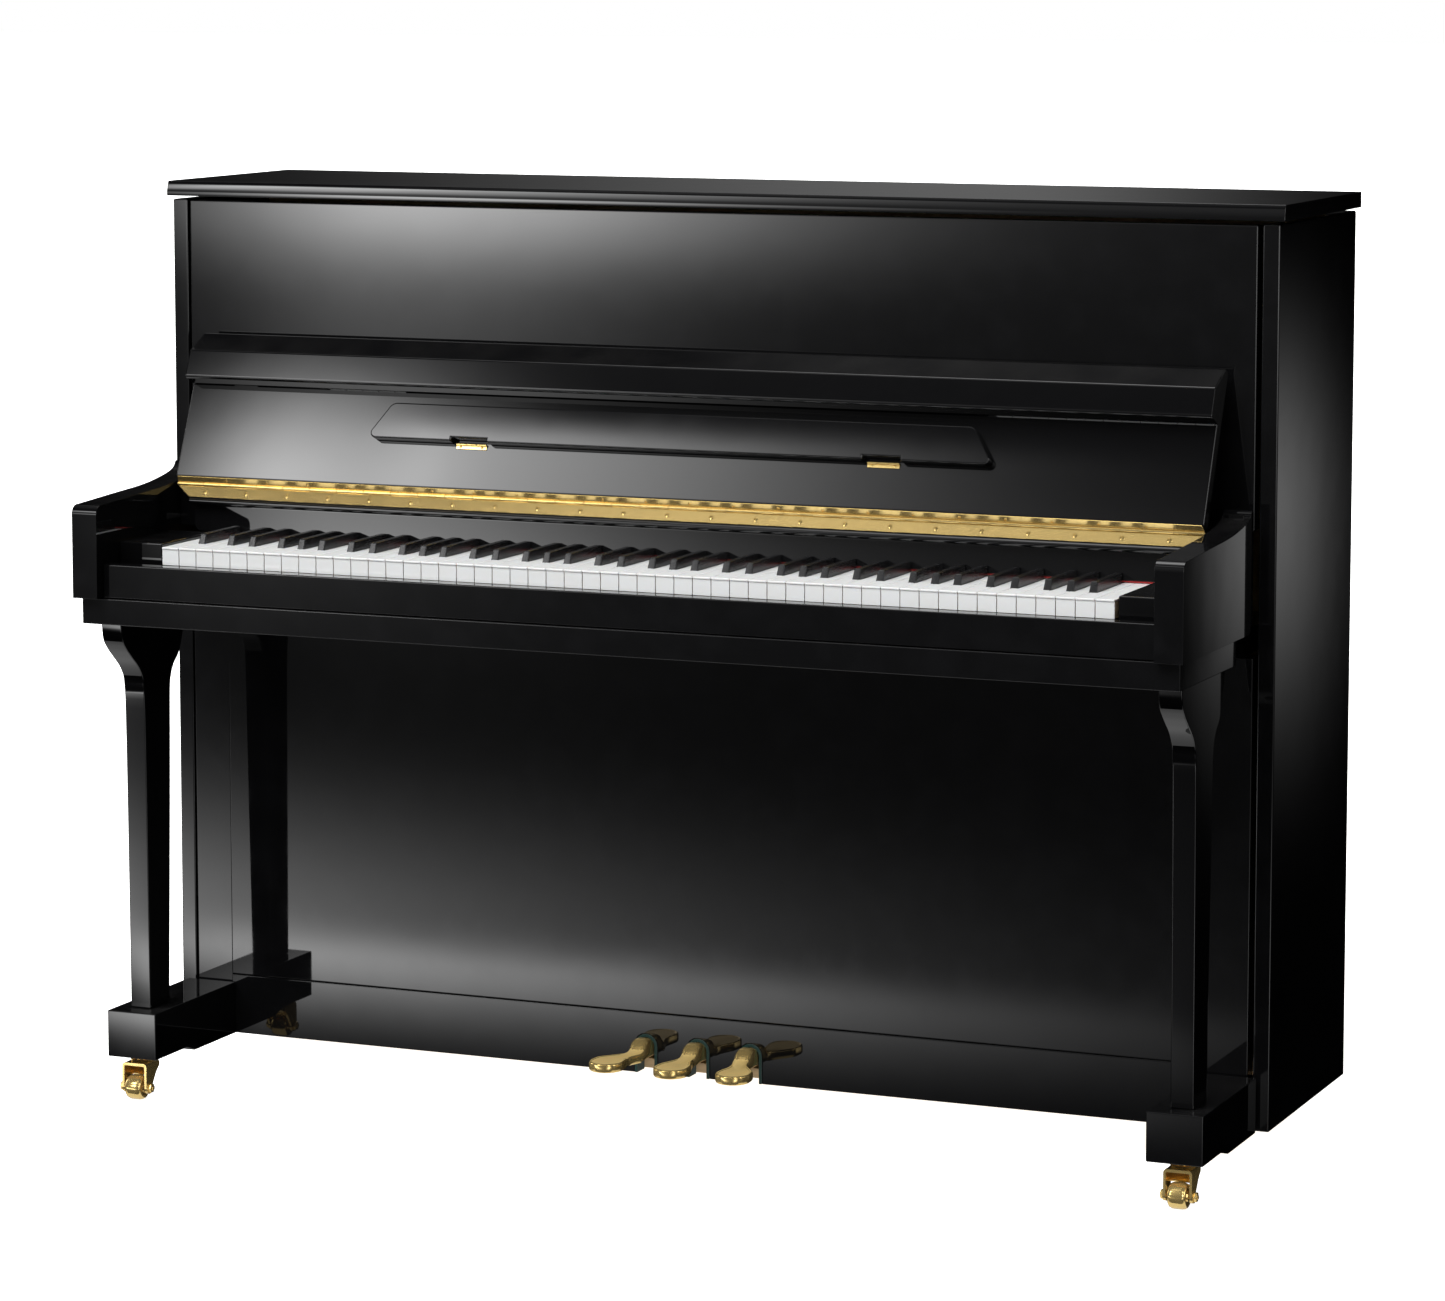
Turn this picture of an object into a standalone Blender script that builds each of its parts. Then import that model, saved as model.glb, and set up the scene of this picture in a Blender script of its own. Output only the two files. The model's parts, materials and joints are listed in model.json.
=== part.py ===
"""Upright piano: cabinet, keyboard, action, strung back, pedals and casters, as separate pieces.

Metres, +Z up. X runs from the bass side (-) to the treble side (+), and Y from the player (-) to the
wall (+). The origin is on the floor, under the middle of the whole piano. Depths are measured from the
front edge of the white keys towards the wall, and at() turns a depth into a Y.
"""

import math

import bmesh
import bpy
from mathutils import Vector

# Whole piano
KEY_FRONT_Y = -0.2585
HALF_BODY = 0.728
SIDE_THICKNESS = 0.021
BODY_FRONT = 0.244
BODY_BACK = 0.567
BODY_BOTTOM = 0.0475
SIDE_TOP = 1.117
LID_TOP = 1.140
LID_THICKNESS = 0.019
LID_HALF = 0.7346
LID_BACK = 0.5655
GAP = 0.0005

# Keyboard
WHITE_KEYS = 52
KEYBOARD_WIDTH = 1.225
KEY_PITCH = KEYBOARD_WIDTH / WHITE_KEYS
KEY_TOP = 0.705
KEY_BOTTOM = 0.683
KEY_LENGTH = 0.390
KEY_HEAD = 0.050
KEY_GAP = 0.0009
SHARP_WIDTH = 0.0098
SHARP_TOP = 0.717
SHARP_START = 0.050
SHARP_END = 0.143
BALANCE_DEPTH = 0.215
SHARP_OFFSETS = {1: -0.0030, 3: 0.0030, 6: -0.0040, 8: 0.0, 10: 0.0040}
FIRST_NOTE = 9
NOTE_NAMES = ("C", "Cs", "D", "Ds", "E", "F", "Fs", "G", "Gs", "A", "As", "B")
LONE_KEYS = ("C4", "Cs4", "D4", "Ds4", "E4", "F4", "Fs4", "G4")

# Key bed, arms and legs
BED_BOTTOM = 0.611
BED_TOP = 0.643
BED_HALF = 0.7026
BED_FRONT = -0.0385
ARM_INNER = 0.675
ARM_OUTER = 0.709
ARM_BOTTOM = 0.6435
LEG_INNER = 0.667
LEG_OUTER = 0.695
TOE_INNER = 0.646
TOE_OUTER = 0.7145
TOE_TOP = 0.114

# Fallboard and its hinge
HINGE_DEPTH = 0.148
HINGE_Z = 0.766
HINGE_HALF = 0.6714
KNUCKLE_RADIUS = 0.0024
KNUCKLES = 36
LEAF_SET_BACK = 0.0006
LEAF_THICKNESS = 0.0012
REAR_LEAF_ANGLE = math.radians(123)
FRONT_LEAF_ANGLE = math.radians(242)
REAR_LEAF_WIDTH = 0.0112
FRONT_LEAF_WIDTH = 0.0166
FALLBOARD_HALF = 0.6715
FALLBOARD_LEAN = math.radians(23.2)
FALLBOARD_THICKNESS = 0.016
DESK_LOW = 0.056
DESK_HEIGHT = 0.047
DESK_THICKNESS = 0.013
DESK_HINGE_X = 0.270

# Pedals
PEDAL_XS = {"left_pedal": -0.070, "middle_pedal": 0.0, "right_pedal": 0.070}
PEDAL_TOES = {"left_pedal": -0.016, "middle_pedal": 0.0, "right_pedal": 0.012}
PEDAL_PIVOT = (0.330, 0.078)
PEDAL_PIN_RADIUS = 0.0030
SLOT_HALF = 0.0150
SLOT_TOP = 0.0970

# Casters
CASTER_HEIGHT = 0.0540
WHEEL_RADIUS = 0.0155
WHEEL_HALF = 0.0110
CASTER_TRAIL = 0.014
CASTER_PLACES = {
    "front_left": (-0.682, 0.058),
    "front_right": (0.682, 0.058),
    "rear_left": (-0.640, 0.530),
    "rear_right": (0.640, 0.530),
}

# Strung back and action
FRAME_HALF = HALF_BODY - SIDE_THICKNESS - GAP
FRAME_FRONT = 0.490
FRAME_BACK = 0.566
FRAME_TOP = 1.1165
LID_AXIS = (0.5640, FRAME_TOP + 0.0022)
POST_HALF = 0.030
POST_XS = (-0.6765, -0.340, 0.0, 0.340, 0.6765)
ACTION_HALF = 0.612


def at(x, depth, z):
    """A point from its X, its depth behind the white keys' fronts, and its Z."""
    return Vector((x, depth + KEY_FRONT_Y, z))


def make_finish(name, colour, roughness, metallic=0.0):
    """A Principled material of one colour."""
    finish = bpy.data.materials.new(name)
    finish.use_nodes = True
    shader = finish.node_tree.nodes["Principled BSDF"]
    shader.inputs["Base Color"].default_value = (*colour, 1.0)
    shader.inputs["Roughness"].default_value = roughness
    shader.inputs["Metallic"].default_value = metallic
    return finish


def make_finishes():
    """Every material of the piano, by name."""
    return {
        "lacquer": make_finish("lacquer", (0.010, 0.010, 0.011), 0.06),
        "brass": make_finish("brass", (0.83, 0.62, 0.26), 0.18, 1.0),
        "ivory_plastic": make_finish("ivory_plastic", (0.88, 0.88, 0.86), 0.22),
        "ebony_plastic": make_finish("ebony_plastic", (0.022, 0.022, 0.023), 0.30),
        "spruce": make_finish("spruce", (0.62, 0.45, 0.26), 0.50),
        "maple": make_finish("maple", (0.66, 0.52, 0.34), 0.50),
        "plate_gold": make_finish("plate_gold", (0.52, 0.38, 0.16), 0.40, 0.6),
        "steel": make_finish("steel", (0.60, 0.60, 0.60), 0.30, 1.0),
        "red_felt": make_finish("red_felt", (0.36, 0.02, 0.02), 0.95),
        "white_felt": make_finish("white_felt", (0.80, 0.78, 0.72), 0.95),
    }


def prism(outline, low, high, along):
    """A bmesh of an outline pushed along X, Y or Z. Its points are the other two coordinates in order."""
    corner = {
        "X": lambda a, b, h: at(h, a, b),
        "Y": lambda a, b, h: at(a, h, b),
        "Z": lambda a, b, h: at(a, b, h),
    }[along]
    shape = bmesh.new()
    start = shape.faces.new([shape.verts.new(corner(a, b, low)) for a, b in outline])
    grown = bmesh.ops.extrude_face_region(shape, geom=[start])["geom"]
    moved = [part for part in grown if isinstance(part, bmesh.types.BMVert)]
    bmesh.ops.translate(shape, verts=moved, vec=corner(0, 0, high) - corner(0, 0, low))
    bmesh.ops.recalc_face_normals(shape, faces=shape.faces)
    return shape


def block(x_range, depth_range, z_range):
    """A rectangular block from its three ranges."""
    (x0, x1), (d0, d1) = x_range, depth_range
    return prism([(x0, d0), (x1, d0), (x1, d1), (x0, d1)], *z_range, "Z")


def arc(centre, radius, start, end, steps):
    """Points on an arc, ends included, with its angles in degrees."""
    angles = [math.radians(start + (end - start) * i / steps) for i in range(steps + 1)]
    return [(centre[0] + radius * math.cos(a), centre[1] + radius * math.sin(a)) for a in angles]


def disc(centre, radius, low, high, along, sides=20):
    """A round bar along one axis."""
    return prism(arc(centre, radius, 0, 360 - 360 / sides, sides - 1), low, high, along)


def combined(first, others, operation="UNION"):
    """One closed bmesh from several, by exact Booleans."""
    helpers = []
    for shape in (first, *others):
        mesh = bpy.data.meshes.new("helper")
        shape.to_mesh(mesh)
        shape.free()
        helpers.append(bpy.data.objects.new("helper", mesh))
        bpy.context.collection.objects.link(helpers[-1])
    for other in helpers[1:]:
        cutter = helpers[0].modifiers.new("Boolean", "BOOLEAN")
        cutter.operation = operation
        cutter.object = other
    result = bmesh.new()
    result.from_object(helpers[0], bpy.context.evaluated_depsgraph_get())
    for helper in helpers:
        bpy.data.objects.remove(helper)
    return result


def add(name, shape, finish, pivot=(0, 0, 0), bevel=0.0):
    """Adds a bmesh as an object whose origin is at the pivot, given as X, depth and Z."""
    origin = at(*pivot) if any(pivot) else Vector()
    bmesh.ops.translate(shape, verts=shape.verts, vec=-origin)
    mesh = bpy.data.meshes.new(name)
    shape.to_mesh(mesh)
    shape.free()
    mesh.shade_smooth()
    mesh.set_sharp_from_angle(angle=math.radians(35))
    mesh.materials.append(finish)
    obj = bpy.data.objects.new(name, mesh)
    obj.location = origin
    bpy.context.collection.objects.link(obj)
    if bevel:
        edges = obj.modifiers.new("Eased edges", "BEVEL")
        edges.width = bevel
        edges.segments = 2
        edges.limit_method = "ANGLE"
        edges.angle_limit = math.radians(50)
    return obj


def both_sides(make, name, *arguments, **options):
    """Adds the left and the right copy of a piece. make takes the sign of the side: -1 left, 1 right."""
    for side, sign in (("left", -1), ("right", 1)):
        add(f"{side}_{name}", make(sign), *arguments, **options)


def span(sign, inner, outer):
    """The X range between two distances from the middle, on one side."""
    return tuple(sorted((sign * inner, sign * outer)))


def add_case(finish):
    """Sides, stiles, front panels, pedal rail and bottom board."""
    side_inner = HALF_BODY - SIDE_THICKNESS
    both_sides(
        lambda sign: block(
            span(sign, side_inner, HALF_BODY), (BODY_FRONT, BODY_BACK), (BODY_BOTTOM, SIDE_TOP)
        ),
        "side_panel", finish, bevel=0.0020,
    )
    both_sides(
        lambda sign: block(
            span(sign, 0.652, 0.7023), (0.240, 0.262), (BODY_BOTTOM, BED_BOTTOM - GAP)
        ),
        "stile", finish, bevel=0.0012,
    )
    panel = block((-0.702, 0.702), (0.2415, 0.2615), (0.760, 1.1155))
    add("upper_panel", panel, finish, bevel=0.0015)
    panel = block((-0.6512, 0.6512), (0.2365, 0.2545), (0.1245, BED_BOTTOM - GAP))
    add("lower_panel", panel, finish, bevel=0.0012)
    rail = block((-0.6515, 0.6515), (0.2360, 0.2560), (BODY_BOTTOM, 0.1238))
    slots = []
    for x in PEDAL_XS.values():
        arch = arc((x, SLOT_TOP - SLOT_HALF), SLOT_HALF, 0, 180, 8)
        arch += [(x - SLOT_HALF, BODY_BOTTOM - 0.01), (x + SLOT_HALF, BODY_BOTTOM - 0.01)]
        slots.append(prism(arch, 0.22, 0.27, "Y"))
    add("pedal_rail", combined(rail, slots, "DIFFERENCE"), finish)


def add_bottom_board(finish):
    """The board that carries the pedals, with two drilled ears for each pedal's pivot pin."""
    board = block((-0.6985, 0.6985), (0.2630, 0.4700), (0.0480, 0.0600))
    pivot_depth, pivot_z = PEDAL_PIVOT
    ears = []
    holes = []
    for x in PEDAL_XS.values():
        for sign in (-1, 1):
            low, high = sorted((x + sign * 0.0125, x + sign * 0.0175))
            ears.append(
                block((low, high), (pivot_depth - 0.012, pivot_depth + 0.012), (0.055, 0.088))
            )
        holes.append(
            disc(PEDAL_PIVOT, PEDAL_PIN_RADIUS + 0.0005, x - 0.02, x + 0.02, "X", sides=12)
        )
    board = combined(board, ears)
    add("bottom_board", combined(board, holes, "DIFFERENCE"), finish)


def arm_outline():
    """The side view of an arm: rounded front corner, top rising gently and then curling up."""
    nose = arc((-0.0385, 0.7465), 0.0115, 180, 98, 5)
    top = [(-0.020, 0.7588), (0.120, 0.7655), (0.162, 0.7702), (0.190, 0.7755)]
    curl = arc((0.1905, 0.7925), 0.0170, 300, 342, 3)
    heel = arc((0.1995, 0.6525), 0.0090, 0, -90, 3)
    return [(-0.050, ARM_BOTTOM), *nose, *top, *curl, (0.2085, 0.7872), *heel]


def leg_outline():
    """The side view of a leg: swept out to the key bed at the top, nearly straight below."""
    front = [
        (-0.007, 0.6105), (-0.0035, 0.588), (0.005, 0.576), (0.018, 0.564), (0.034, 0.550),
        (0.044, 0.536), (0.047, 0.5225), (0.049, 0.494), (0.051, 0.373), (0.0535, TOE_TOP + GAP),
    ]
    back = [
        (0.159, 0.6105), (0.138, 0.555), (0.124, 0.5415), (0.117, 0.529), (0.114, 0.514),
        (0.113, 0.486), (0.110, 0.365), (0.102, TOE_TOP + GAP),
    ]
    return front + back[::-1]


def add_key_bed_group(finish):
    """Key bed, arms, key slip, key blocks, legs and toe blocks."""
    bed = block((-BED_HALF, BED_HALF), (BED_FRONT, 0.173), (BED_BOTTOM, BED_TOP))
    deck = block((-0.690, 0.690), (0.170, 0.405), (BED_BOTTOM, BED_TOP))
    add("key_bed", combined(bed, [deck]), finish, bevel=0.0012)

    def arm(sign):
        body = prism(arm_outline(), *span(sign, ARM_INNER, ARM_OUTER), "X")
        tongue = block(span(sign, 0.677, 0.7015), (0.200, 0.2405), (0.650, 0.783))
        return combined(body, [tongue])

    both_sides(arm, "arm", finish, bevel=0.0012)
    slip = block((-0.6745, 0.6745), (-0.035, -0.015), (BED_TOP + GAP, 0.685))
    add("key_slip", slip, finish, bevel=0.0015)
    both_sides(
        lambda sign: block(span(sign, 0.6145, 0.6745), (0.006, 0.131), (BED_TOP + GAP, 0.709)),
        "key_block", finish, bevel=0.0020,
    )
    both_sides(
        lambda sign: prism(leg_outline(), *span(sign, LEG_INNER, LEG_OUTER), "X"),
        "leg", finish,
    )
    toe = [
        (0.028, 0.055), (0.106, 0.055), (0.129, BODY_BOTTOM), (0.2355, BODY_BOTTOM),
        (0.2355, TOE_TOP), (0.028, TOE_TOP),
    ]
    both_sides(
        lambda sign: prism(toe, *span(sign, TOE_INNER, TOE_OUTER), "X"),
        "toe_block", finish, bevel=0.0015,
    )


def from_hinge(angle, along, behind):
    """A point beside the fallboard hinge: along a leaf's direction, and behind its middle plane."""
    side = -1 if angle < math.pi else 1
    return (
        HINGE_DEPTH + along * math.cos(angle) - side * behind * math.sin(angle),
        HINGE_Z + along * math.sin(angle) + side * behind * math.cos(angle),
    )


def hinge_leaf(angle, width, first_knuckle, mitre):
    """One brass leaf with every second knuckle. mitre is how much shorter its free edge is at each end."""
    near = KNUCKLE_RADIUS + 0.0006
    corners = [
        from_hinge(angle, along, behind)
        for along, behind in (
            (near, LEAF_SET_BACK), (width, LEAF_SET_BACK),
            (width, LEAF_SET_BACK + LEAF_THICKNESS), (near, LEAF_SET_BACK + LEAF_THICKNESS),
        )
    ]
    leaf = prism(corners, -HINGE_HALF, HINGE_HALF, "X")
    for vertex in leaf.verts:
        depth, z = vertex.co.y - KEY_FRONT_Y, vertex.co.z
        reach = (depth - HINGE_DEPTH) * math.cos(angle) + (z - HINGE_Z) * math.sin(angle)
        inset = mitre * (reach - near) / (width - near)
        vertex.co.x -= math.copysign(inset, vertex.co.x)
    pitch = 2 * HINGE_HALF / KNUCKLES
    knuckles = []
    for i in range(first_knuckle, KNUCKLES, 2):
        low = -HINGE_HALF + i * pitch + 0.0002
        high = low + pitch - 0.0004
        knuckles.append(disc((HINGE_DEPTH, HINGE_Z), KNUCKLE_RADIUS, low, high, "X", sides=8))
        tab = [
            from_hinge(angle, along, behind)
            for along, behind in (
                (0.0004, LEAF_SET_BACK), (near + 0.0008, LEAF_SET_BACK + 0.0001),
                (near + 0.0008, LEAF_SET_BACK + LEAF_THICKNESS - 0.0001), (0.0004, 0.0018),
            )
        ]
        knuckles.append(prism(tab, low + 0.001, high - 0.001, "X"))
    return combined(leaf, knuckles)


def fallboard_point(up, back):
    """A point of the open fallboard: up its inner face from the lower edge, and back through it."""
    low_depth, low_z = from_hinge(REAR_LEAF_ANGLE, 0.0115, LEAF_SET_BACK + LEAF_THICKNESS + 0.0003)
    return (
        low_depth + up * math.sin(FALLBOARD_LEAN) + back * math.cos(FALLBOARD_LEAN),
        low_z + up * math.cos(FALLBOARD_LEAN) - back * math.sin(FALLBOARD_LEAN),
    )


def add_fallboard(finish):
    """The key cover with its thick front lip. It turns on the long hinge."""
    round_front = arc((0.1820, 0.0075), 0.0085, -60, 90, 6)
    outline = [(0, 0), (0.1211, 0), (0.1215, -0.0215), (0.1250, -0.0250), (0.1560, -0.0250)]
    outline += [(0.1600, -0.0235), *round_front, (-0.0047, FALLBOARD_THICKNESS), (-0.0047, 0.0071)]
    points = [fallboard_point(up, back) for up, back in outline]
    shape = prism(points, -FALLBOARD_HALF, FALLBOARD_HALF, "X")
    add("fallboard", shape, finish, pivot=(0, HINGE_DEPTH, HINGE_Z), bevel=0.0010)


def desk_axis():
    """The music desk's hinge line, in front of the fallboard's inner face."""
    return fallboard_point(DESK_LOW, -0.0020)


def add_music_desk(finish, brass):
    """The flap that holds the music, folded up against the fallboard, and its two hinges."""
    foot = DESK_LOW + 0.0010
    top = DESK_LOW + DESK_HEIGHT
    notch = foot + 0.0045
    right = [(DESK_HINGE_X - 0.024, foot), (DESK_HINGE_X - 0.024, notch)]
    right += [(DESK_HINGE_X + 0.024, notch), (DESK_HINGE_X + 0.024, foot)]
    right += arc((0.398, foot + 0.007), 0.007, -90, 20, 3)
    right += arc((0.384, top - 0.011), 0.011, 20, 90, 4)
    left = [(-x, up) for x, up in right[::-1]]
    shape = prism([(x, up) for x, up in right + left], -DESK_THICKNESS - 0.0008, -0.0008, "Z")
    for vertex in shape.verts:
        up, back = vertex.co.y - KEY_FRONT_Y, vertex.co.z
        vertex.co.yz = at(0, *fallboard_point(up, back)).yz
    shape.normal_update()
    bmesh.ops.recalc_face_normals(shape, faces=shape.faces)
    add("music_desk", shape, finish, pivot=(0, *desk_axis()), bevel=0.0015)
    for side, x in (("left", -DESK_HINGE_X), ("right", DESK_HINGE_X)):
        plate = [
            fallboard_point(up, back)
            for up, back in (
                (DESK_LOW - 0.012, -0.0003), (DESK_LOW, -0.0003),
                (DESK_LOW, -0.0013), (DESK_LOW - 0.012, -0.0013),
            )
        ]
        strip = prism(plate, x - 0.0225, x + 0.0225, "X")
        barrel = disc(desk_axis(), 0.0015, x - 0.0225, x + 0.0225, "X", sides=8)
        add(f"{side}_music_desk_hinge", combined(strip, [barrel]), brass)


def add_nameboard(finish, felt):
    """The strip behind the keys: a slope for the hinge's front leaf, a rounded nose and a leaning face."""
    seat = LEAF_SET_BACK + LEAF_THICKNESS + 0.0003
    outline = [
        from_hinge(FRONT_LEAF_ANGLE, 0.0035, seat), from_hinge(FRONT_LEAF_ANGLE, 0.0166, seat),
        (0.1392, 0.7492), (0.1376, 0.7465), (0.1378, 0.7435), (0.1402, 0.7416),
        (0.1487, 0.7405), (0.1487, 0.7390), (0.1440, 0.7080), (0.1780, 0.7080),
        (0.1780, 0.7640), (0.1502, 0.7640),
    ]
    strip = prism(outline, -0.6712, 0.6712, "X")
    ends = [(0.6712, 0.7700), (0.6712, 0.7625), (0.6525, 0.7505), (0.6475, 0.7400)]
    ends += arc((0.6365, 0.7185), 0.0105, 0, -90, 4)
    front = prism(ends + [(-x, z) for x, z in ends[::-1]], 0.10, 0.20, "Y")
    rail = block((-0.6745, 0.6745), (0.1600, 0.1780), (0.7125, 0.7640))
    add("nameboard", combined(combined(strip, [front], "INTERSECT"), [rail]), finish)
    pad = block((-0.6125, 0.6125), (0.1452, 0.1560), (KEY_TOP + 0.0006, 0.7077))
    add("nameboard_felt", pad, felt)


def note_name(note):
    """A note's name from its number of semitones above the lowest C."""
    return f"{NOTE_NAMES[note % 12]}{note // 12}"


def key_edges():
    """Each key as (name, is_sharp, left edge, right edge), in X, from the lowest note up."""
    keys = []
    edge = -KEYBOARD_WIDTH / 2
    for note in range(FIRST_NOTE, FIRST_NOTE + 88):
        if note % 12 in SHARP_OFFSETS:
            centre = edge + SHARP_OFFSETS[note % 12]
            keys.append((note_name(note), True, centre - SHARP_WIDTH / 2, centre + SHARP_WIDTH / 2))
        else:
            keys.append((note_name(note), False, edge, edge + KEY_PITCH))
            edge += KEY_PITCH
    return keys


def tail_edges(keys, place):
    """The left and right edge of a key behind its head, where the sharps and naturals lie side by side."""
    _, sharp, left, right = keys[place]
    if sharp:
        return left, right
    left += KEY_GAP / 2
    right -= KEY_GAP / 2
    if place > 0 and keys[place - 1][1]:
        left = keys[place - 1][3] + KEY_GAP
    if place + 1 < len(keys) and keys[place + 1][1]:
        right = keys[place + 1][2] - KEY_GAP
    return left, right


def natural_key(keys, place):
    """A white key: a full-width head, and a tail that leaves room for the sharps beside it."""
    left = keys[place][2] + KEY_GAP / 2
    right = keys[place][3] - KEY_GAP / 2
    tail_left, tail_right = tail_edges(keys, place)
    shoulder = KEY_HEAD - KEY_GAP
    outline = [(left, 0), (right, 0), (right, shoulder)]
    if tail_right < right:
        outline.append((tail_right, shoulder))
    outline += [(tail_right, KEY_LENGTH), (tail_left, KEY_LENGTH)]
    if tail_left > left:
        outline.append((tail_left, shoulder))
    outline.append((left, shoulder))
    return prism(outline, KEY_BOTTOM, KEY_TOP, "Z")


def sharp_key(keys, place):
    """A black key: a raised cap with a sloping front on a long stick."""
    _, _, left, right = keys[place]
    outline = [
        (SHARP_START, KEY_BOTTOM), (SHARP_START, KEY_TOP - 0.002), (SHARP_START + 0.0055, SHARP_TOP),
        (SHARP_END, SHARP_TOP), (SHARP_END, KEY_TOP - 0.0015), (KEY_LENGTH, KEY_TOP - 0.0015),
        (KEY_LENGTH, KEY_BOTTOM),
    ]
    return prism(outline, left, right, "X")


def add_keyboard(white, black, wood):
    """All 88 keys. The keys of LONE_KEYS move alone, and the rest are joined in four banks."""
    keys = key_edges()
    pivot = (0, BALANCE_DEPTH, KEY_BOTTOM)
    banks = {"bass_naturals": [], "bass_sharps": [], "treble_naturals": [], "treble_sharps": []}
    for place, (name, sharp, _, _) in enumerate(keys):
        shape = sharp_key(keys, place) if sharp else natural_key(keys, place)
        if name in LONE_KEYS:
            add(f"key_{name}", shape, black if sharp else white, pivot=pivot)
            continue
        half = "bass" if place < 44 else "treble"
        banks[f"{half}_{'sharps' if sharp else 'naturals'}"].append((place, shape))
    for bank, members in banks.items():
        sharp = bank.endswith("sharps")
        depths = (0.2180, 0.2290) if sharp else (0.2010, 0.2120)
        tails = [tail_edges(keys, place) for place, _ in members]
        bar_z = (KEY_BOTTOM - 0.0065, KEY_BOTTOM - 0.0012)
        bar = block((tails[0][0] + 0.001, tails[-1][1] - 0.001), depths, bar_z)
        link_z = (KEY_BOTTOM - 0.0030, KEY_BOTTOM + 0.0020)
        links = [block((left + 0.0015, right - 0.0015), depths, link_z) for left, right in tails]
        shapes = [shape for _, shape in members]
        add(bank, combined(bar, links + shapes), black if sharp else white, pivot=pivot)
    rails = [
        block((-0.6130, 0.6130), (0.015, 0.060), (BED_TOP + GAP, 0.668)),
        block((-0.6130, 0.6130), (0.195, 0.235), (BED_TOP + GAP, 0.6755)),
        block((-0.6130, 0.6130), (0.360, 0.395), (BED_TOP + GAP, KEY_BOTTOM - GAP)),
    ]
    slats = [block((x - 0.02, x + 0.02), (0.020, 0.390), (BED_TOP + GAP, 0.652)) for x in (-0.5, 0, 0.5)]
    add("key_frame", combined(rails[0], rails[1:] + slats), wood)


def add_pedal(name, x, brass):
    """A brass pedal: a flared plate, a neck, an upright hood at the rail, and a lever on a pivot pin."""
    side = [
        (0.185, 0.0685), (0.228, 0.0690), (0.345, 0.0710), (0.345, 0.0855), (0.2350, 0.0865),
        (0.2340, 0.0925), (0.2260, 0.0944), (0.2180, 0.0925), (0.2120, 0.0880), (0.2060, 0.0830),
        (0.1960, 0.0808), (0.185, 0.0800),
    ]
    lever = prism(side, x - 0.0105, x + 0.0105, "X")
    half = arc((0.152, 0), 0.0215, 180, 90, 4)
    half += [(0.168, 0.0198), (0.184, 0.0128), (0.198, 0.0100)]
    toe = PEDAL_TOES[name]
    shift = {depth: toe * min(1.0, max(0.0, (0.200 - depth) / 0.036)) for depth, _ in half}
    outline = [(x + shift[depth] + across, depth) for depth, across in half]
    outline += [(x + shift[depth] - across, depth) for depth, across in half[::-1] if across > 1e-6]
    plate = prism(outline, 0.0685, 0.0800, "Z")
    pin = disc(PEDAL_PIVOT, PEDAL_PIN_RADIUS, x - 0.0195, x + 0.0195, "X", sides=12)
    add(name, combined(lever, [plate, pin]), brass, pivot=(x, *PEDAL_PIVOT))


def add_caster(place, x, depth, brass):
    """A swivelling yoke with a web, a stem and a bearing disc, and the wheel that turns on its axle."""
    axle = (depth - CASTER_TRAIL, WHEEL_RADIUS)
    crown = block((x - 0.0173, x + 0.0173), (depth - 0.0215, depth + 0.0120), (0.0435, 0.0470))
    pieces = [
        disc((x, depth), 0.0155, 0.0515, CASTER_HEIGHT, "Z"),
        disc((x, depth), 0.0065, 0.0450, 0.0525, "Z", sides=12),
    ]
    cheek = [
        (depth - 0.0215, 0.0470), (depth - 0.0215, 0.0120), (depth - 0.0180, 0.0090),
        (depth - 0.0100, 0.0090), (depth - 0.0060, 0.0130), (depth + 0.0120, 0.0430),
        (depth + 0.0120, 0.0470),
    ]
    for low, high in ((x - 0.0173, x - 0.0143), (x + 0.0143, x + 0.0173)):
        pieces.append(prism(cheek, low, high, "X"))
    web = [
        (depth + 0.0120, 0.0450), (depth + 0.0085, 0.0450), (depth + 0.0010, 0.0345),
        (depth - 0.0028, 0.0300), (depth - 0.0012, 0.0278), (depth + 0.0035, 0.0325),
        (depth + 0.0120, 0.0425),
    ]
    pieces.append(prism(web, x - 0.0150, x + 0.0150, "X"))
    yoke = combined(crown, pieces)
    hole = disc(axle, 0.0033, x - 0.03, x + 0.03, "X", sides=12)
    add(f"{place}_caster_yoke", combined(yoke, [hole], "DIFFERENCE"), brass, pivot=(x, depth, 0.050))
    tyre = disc(axle, WHEEL_RADIUS, x - WHEEL_HALF, x + WHEEL_HALF, "X", sides=28)
    ends = [
        disc(axle, 0.0028, x - 0.0215, x + 0.0215, "X", sides=12),
        disc(axle, 0.0062, x - 0.0240, x - 0.0180, "X", sides=6),
        disc(axle, 0.0062, x + 0.0180, x + 0.0240, "X", sides=6),
    ]
    add(f"{place}_caster_wheel", combined(tyre, ends), brass, pivot=(x, *axle))


def add_lid(finish, brass):
    """The top lid, hinged along the back of the frame, and its hinge."""
    bottom = LID_TOP - LID_THICKNESS
    outline = [(0.240, bottom), (0.2440, LID_TOP), (LID_BACK, LID_TOP), (LID_BACK, bottom)]
    shape = prism(outline, -LID_HALF, LID_HALF, "X")
    add("top_lid", shape, finish, pivot=(0, *LID_AXIS), bevel=0.0015)
    leaf = block((-0.690, 0.690), (0.5500, LID_BACK), (FRAME_TOP + 0.0003, FRAME_TOP + 0.0013))
    barrel = disc(LID_AXIS, 0.0017, -0.690, 0.690, "X", sides=8)
    add("lid_hinge", combined(leaf, [barrel]), brass)


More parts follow.
